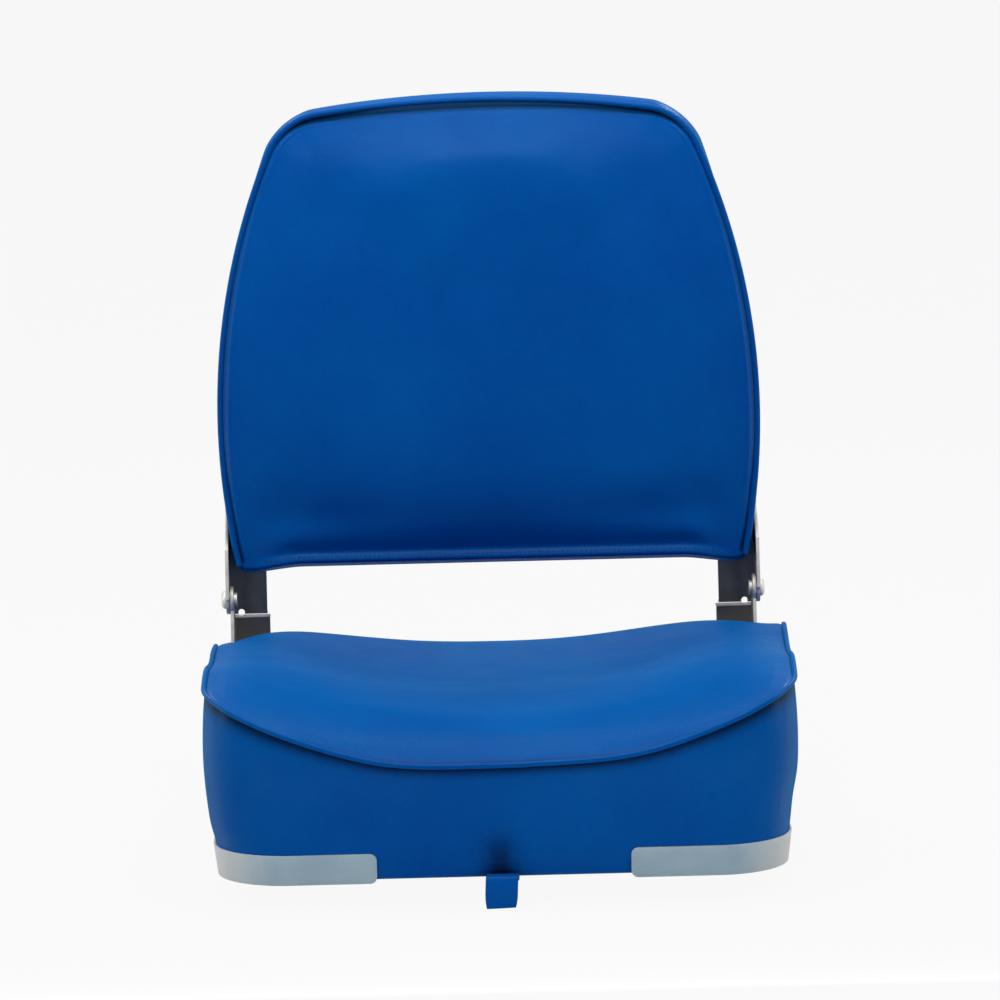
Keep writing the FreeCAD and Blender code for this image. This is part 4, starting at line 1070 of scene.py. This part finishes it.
def buildRearPanel():
    form = rearPanelForm
    sides = backSides(form["inset"])
    shares = gatheredShares(form["cells"], form["gather"])
    outline = ringPoints(sides, shares)
    inner = ringPoints(backSides(form["inset"] + form["step"] * mm), shares)
    toEdge = nearnessTo(outline)
    points = []
    for row in gridPoints(sides, shares):
        for x, up in row:
            x = besideArms(x, up, 0.0)
            gap = toEdge(x, up)
            clear = ease(form["armClear"] - abs(x), 0, form["clearWide"])
            clear = max(clear, ease(up, *form["aboveArms"]))
            belly = form["belly"] * ease(gap, 0, form["bellyWide"]) * clear
            edge = form["edge"] * (1 - ease(gap, 0, form["edgeWide"]))
            points.append((-x, up, -(form["proud"] + belly - edge)))
    for deep, inward in form["turnIn"]:
        for a, b in zip(outline, inner):
            x, up = (a[axis] + (b[axis] - a[axis]) * inward / form["step"] for axis in (0, 1))
            points.append((-besideArms(x, up, 0.0), up, deep * mm))
    points.append((0, backForm["bottom"] + backForm["high"] / 2, deep * mm))
    placed = [backPoint(*point) for point in points]
    piece = meshPiece("backRearPanel", placed, cushionFaces(form["cells"], len(form["turnIn"])))
    writeShade(piece, [0.0] * len(points))
    setMaterials(piece, vinyl)
    closeRound(piece, 1)
    smoothShade(piece, 45)
    return piece


backRearPanel = buildRearPanel()
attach(backRearPanel, "backrest")
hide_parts("back_rear_panel")
print("back piping and rear panel done")

stitchForm = {"long": 2.6 * mm, "thick": 0.55 * mm, "pitch": 3.6 * mm, "halfRun": 176 * mm, "sink": 0.15 * mm}


def stitchMaster(form):
    clearSelection()
    bpy.ops.mesh.primitive_cylinder_add(vertices=8, radius=form["thick"], depth=form["long"],
                                        rotation=(0, math.pi / 2, 0))
    stitch = bpy.context.object
    bpy.ops.object.transform_apply(location=False, rotation=True, scale=True)
    bpy.ops.object.mode_set(mode="EDIT")
    bpy.ops.mesh.select_all(action="SELECT")
    bpy.ops.mesh.bevel(offset=form["thick"] * 0.6, segments=2, affect="EDGES")
    bpy.ops.object.mode_set(mode="OBJECT")
    return stitch


def buildBackStitching():
    form = stitchForm
    master = stitchMaster(form)
    points = [vertex.co.copy() for vertex in backCushion.data.vertices]
    faces = [tuple(face.vertices) for face in backCushion.data.polygons]
    skin = BVHTree.FromPolygons(points, faces)
    count = int(form["halfRun"] / form["pitch"])
    up = backForm["bottom"] + backForm["stitchUp"]
    stitches = []
    for step in range(-count, count + 1):
        x = step * form["pitch"]
        start = backPoint(x, up - cornerHang(x, up), backForm["rayFrom"])
        spot, normal, _, _ = skin.ray_cast(start, backward)
        if spot is None:
            continue
        stitch = master.copy()
        stitch.data = master.data.copy()
        scene.collection.objects.link(stitch)
        stitch.data.transform(Matrix.Translation(spot - normal * form["sink"]))
        stitches.append(stitch)
    bpy.data.objects.remove(master)
    selectOnly(*stitches)
    bpy.ops.object.join()
    piece = bpy.context.object
    piece.name = "backStitching"
    setMaterials(piece, thread)
    smoothShade(piece)
    return piece


backStitching = buildBackStitching()
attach(backStitching, "backrest")
print("back stitching done")


# hinge brackets and corner guards: the CAD forms with softened edges

def softenedCopy(node, name, width, face, rim, isRim):
    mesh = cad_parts[node].data.copy()
    mesh.name = name
    piece = bpy.data.objects.new(name, mesh)
    scene.collection.objects.link(piece)
    setMaterials(piece, face, rim)
    cleanMesh(piece, weld=0.01 * mm, flatten=0.6)
    for polygon in piece.data.polygons:
        corners = [piece.data.vertices[k].co for k in polygon.vertices]
        longest = max((a - b).length for a in corners for b in corners)
        polygon.material_index = int(isRim(polygon.area / longest, polygon.normal))
    addModifier(piece, "BEVEL", width=width, segments=2, limit_method="ANGLE",
                angle_limit=math.radians(40), material=1)
    applyModifiers(piece)
    smoothShade(piece, 35)
    return piece


bracketForm = {"soft": 0.45 * mm, "edgeBreadth": 3.2 * mm}
guardForm = {"soft": 0.7 * mm, "rimFacing": 0.6}


def isPlateEdge(breadth, normal):
    return breadth < bracketForm["edgeBreadth"]


def isGuardRim(breadth, normal):
    return abs(normal.z) > guardForm["rimFacing"]


hardware = {
    "hingeBaseLeft": ("hinge_base_left", "seat"), "hingeBaseRight": ("hinge_base_right", "seat"),
    "hingeArmLeft": ("hinge_arm_left", "backrest"), "hingeArmRight": ("hinge_arm_right", "backrest"),
}
for name, (node, body) in hardware.items():
    piece = softenedCopy(node, name, bracketForm["soft"], bracketFaceShade, bracketEdgeHighlight, isPlateEdge)
    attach(piece, body)
    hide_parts(node)
for name, node in (("cornerGuardLeft", "corner_guard_left"), ("cornerGuardRight", "corner_guard_right")):
    piece = softenedCopy(node, name, guardForm["soft"], guardMilk, guardRim, isGuardRim)
    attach(piece, "seat")
    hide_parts(node)
print("brackets and guards done")

strapForm = {
    "wide": 23 * mm, "thick": 2.4 * mm, "startAt": -148 * mm, "level": -1.2 * mm, "firstLong": 16 * mm,
    "line": [(-171, -1.9), (-178, -2.7), (-192, -2.7), (-202, -2.7), (-206.5, -1.2), (-209.5, 1.8),
             (-212.5, 3.3), (-216.0, 3.2), (-218.8, 1.2), (-219.8, -2.5), (-220.2, -7.0), (-220.6, -13.0),
             (-220.75, -19.0)],
    "drift": -2.8 * mm, "tipNarrow": 0.9, "tipSlant": 0.7 * mm, "soft": 0.6 * mm,
}


def buildStrap():
    form = strapForm
    clearSelection()
    middle = form["startAt"] - form["firstLong"] / 2
    bpy.ops.mesh.primitive_plane_add(size=1, location=(0, middle, form["level"]))
    piece = bpy.context.object
    piece.name = "holdDownStrap"
    piece.scale = (form["wide"], form["firstLong"], 1)
    bpy.ops.object.transform_apply(location=True, rotation=False, scale=True)
    for vertex in piece.data.vertices:
        vertex.select = vertex.co.y < middle
    for edge in piece.data.edges:
        edge.select = all(piece.data.vertices[k].select for k in edge.vertices)
    for polygon in piece.data.polygons:
        polygon.select = False
    bpy.ops.object.mode_set(mode="EDIT")
    bpy.ops.mesh.select_mode(type="EDGE")
    last = (form["startAt"] - form["firstLong"], form["level"])
    sideways = form["drift"] / len(form["line"])
    for y, z in form["line"]:
        here = (y * mm, z * mm)
        step = (sideways, here[0] - last[0], here[1] - last[1])
        bpy.ops.mesh.extrude_region_move(TRANSFORM_OT_translate={"value": step})
        last = here
    bpy.ops.transform.resize(value=(form["tipNarrow"], 1, 1))
    bpy.ops.transform.rotate(value=math.atan2(form["tipSlant"], form["wide"]), orient_axis="Y",
                             center_override=(form["drift"], last[0], last[1]))
    bpy.ops.object.mode_set(mode="OBJECT")
    addModifier(piece, "SOLIDIFY", thickness=form["thick"], offset=0)
    addModifier(piece, "BEVEL", width=form["soft"], segments=2, limit_method="ANGLE",
                angle_limit=math.radians(60))
    applyModifiers(piece)
    subdivide(piece, 2)
    cleanMesh(piece)
    setMaterials(piece, vinyl)
    smoothShade(piece)
    return piece


holdDownStrap = buildStrap()
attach(holdDownStrap, "seat")
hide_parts("hold_down_strap")
print("strap done")


# the boards and fasteners keep their CAD shapes

kept = {
    "seat_base_board": plywood, "back_board": plywood, "guard_screws": plating, "strap_screw": plating,
    "pedestal_t_nuts": plating, "hinge_base_bolts": plating, "hinge_base_t_nuts": plating,
    "pivot_rivet_left": plating, "pivot_rivet_right": plating, "pivot_washers": plating,
    "hinge_arm_bolts": plating, "hinge_arm_t_nuts": plating,
}
for node, material in kept.items():
    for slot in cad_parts[node].material_slots:
        slot.material = material
print("fasteners and boards finished")
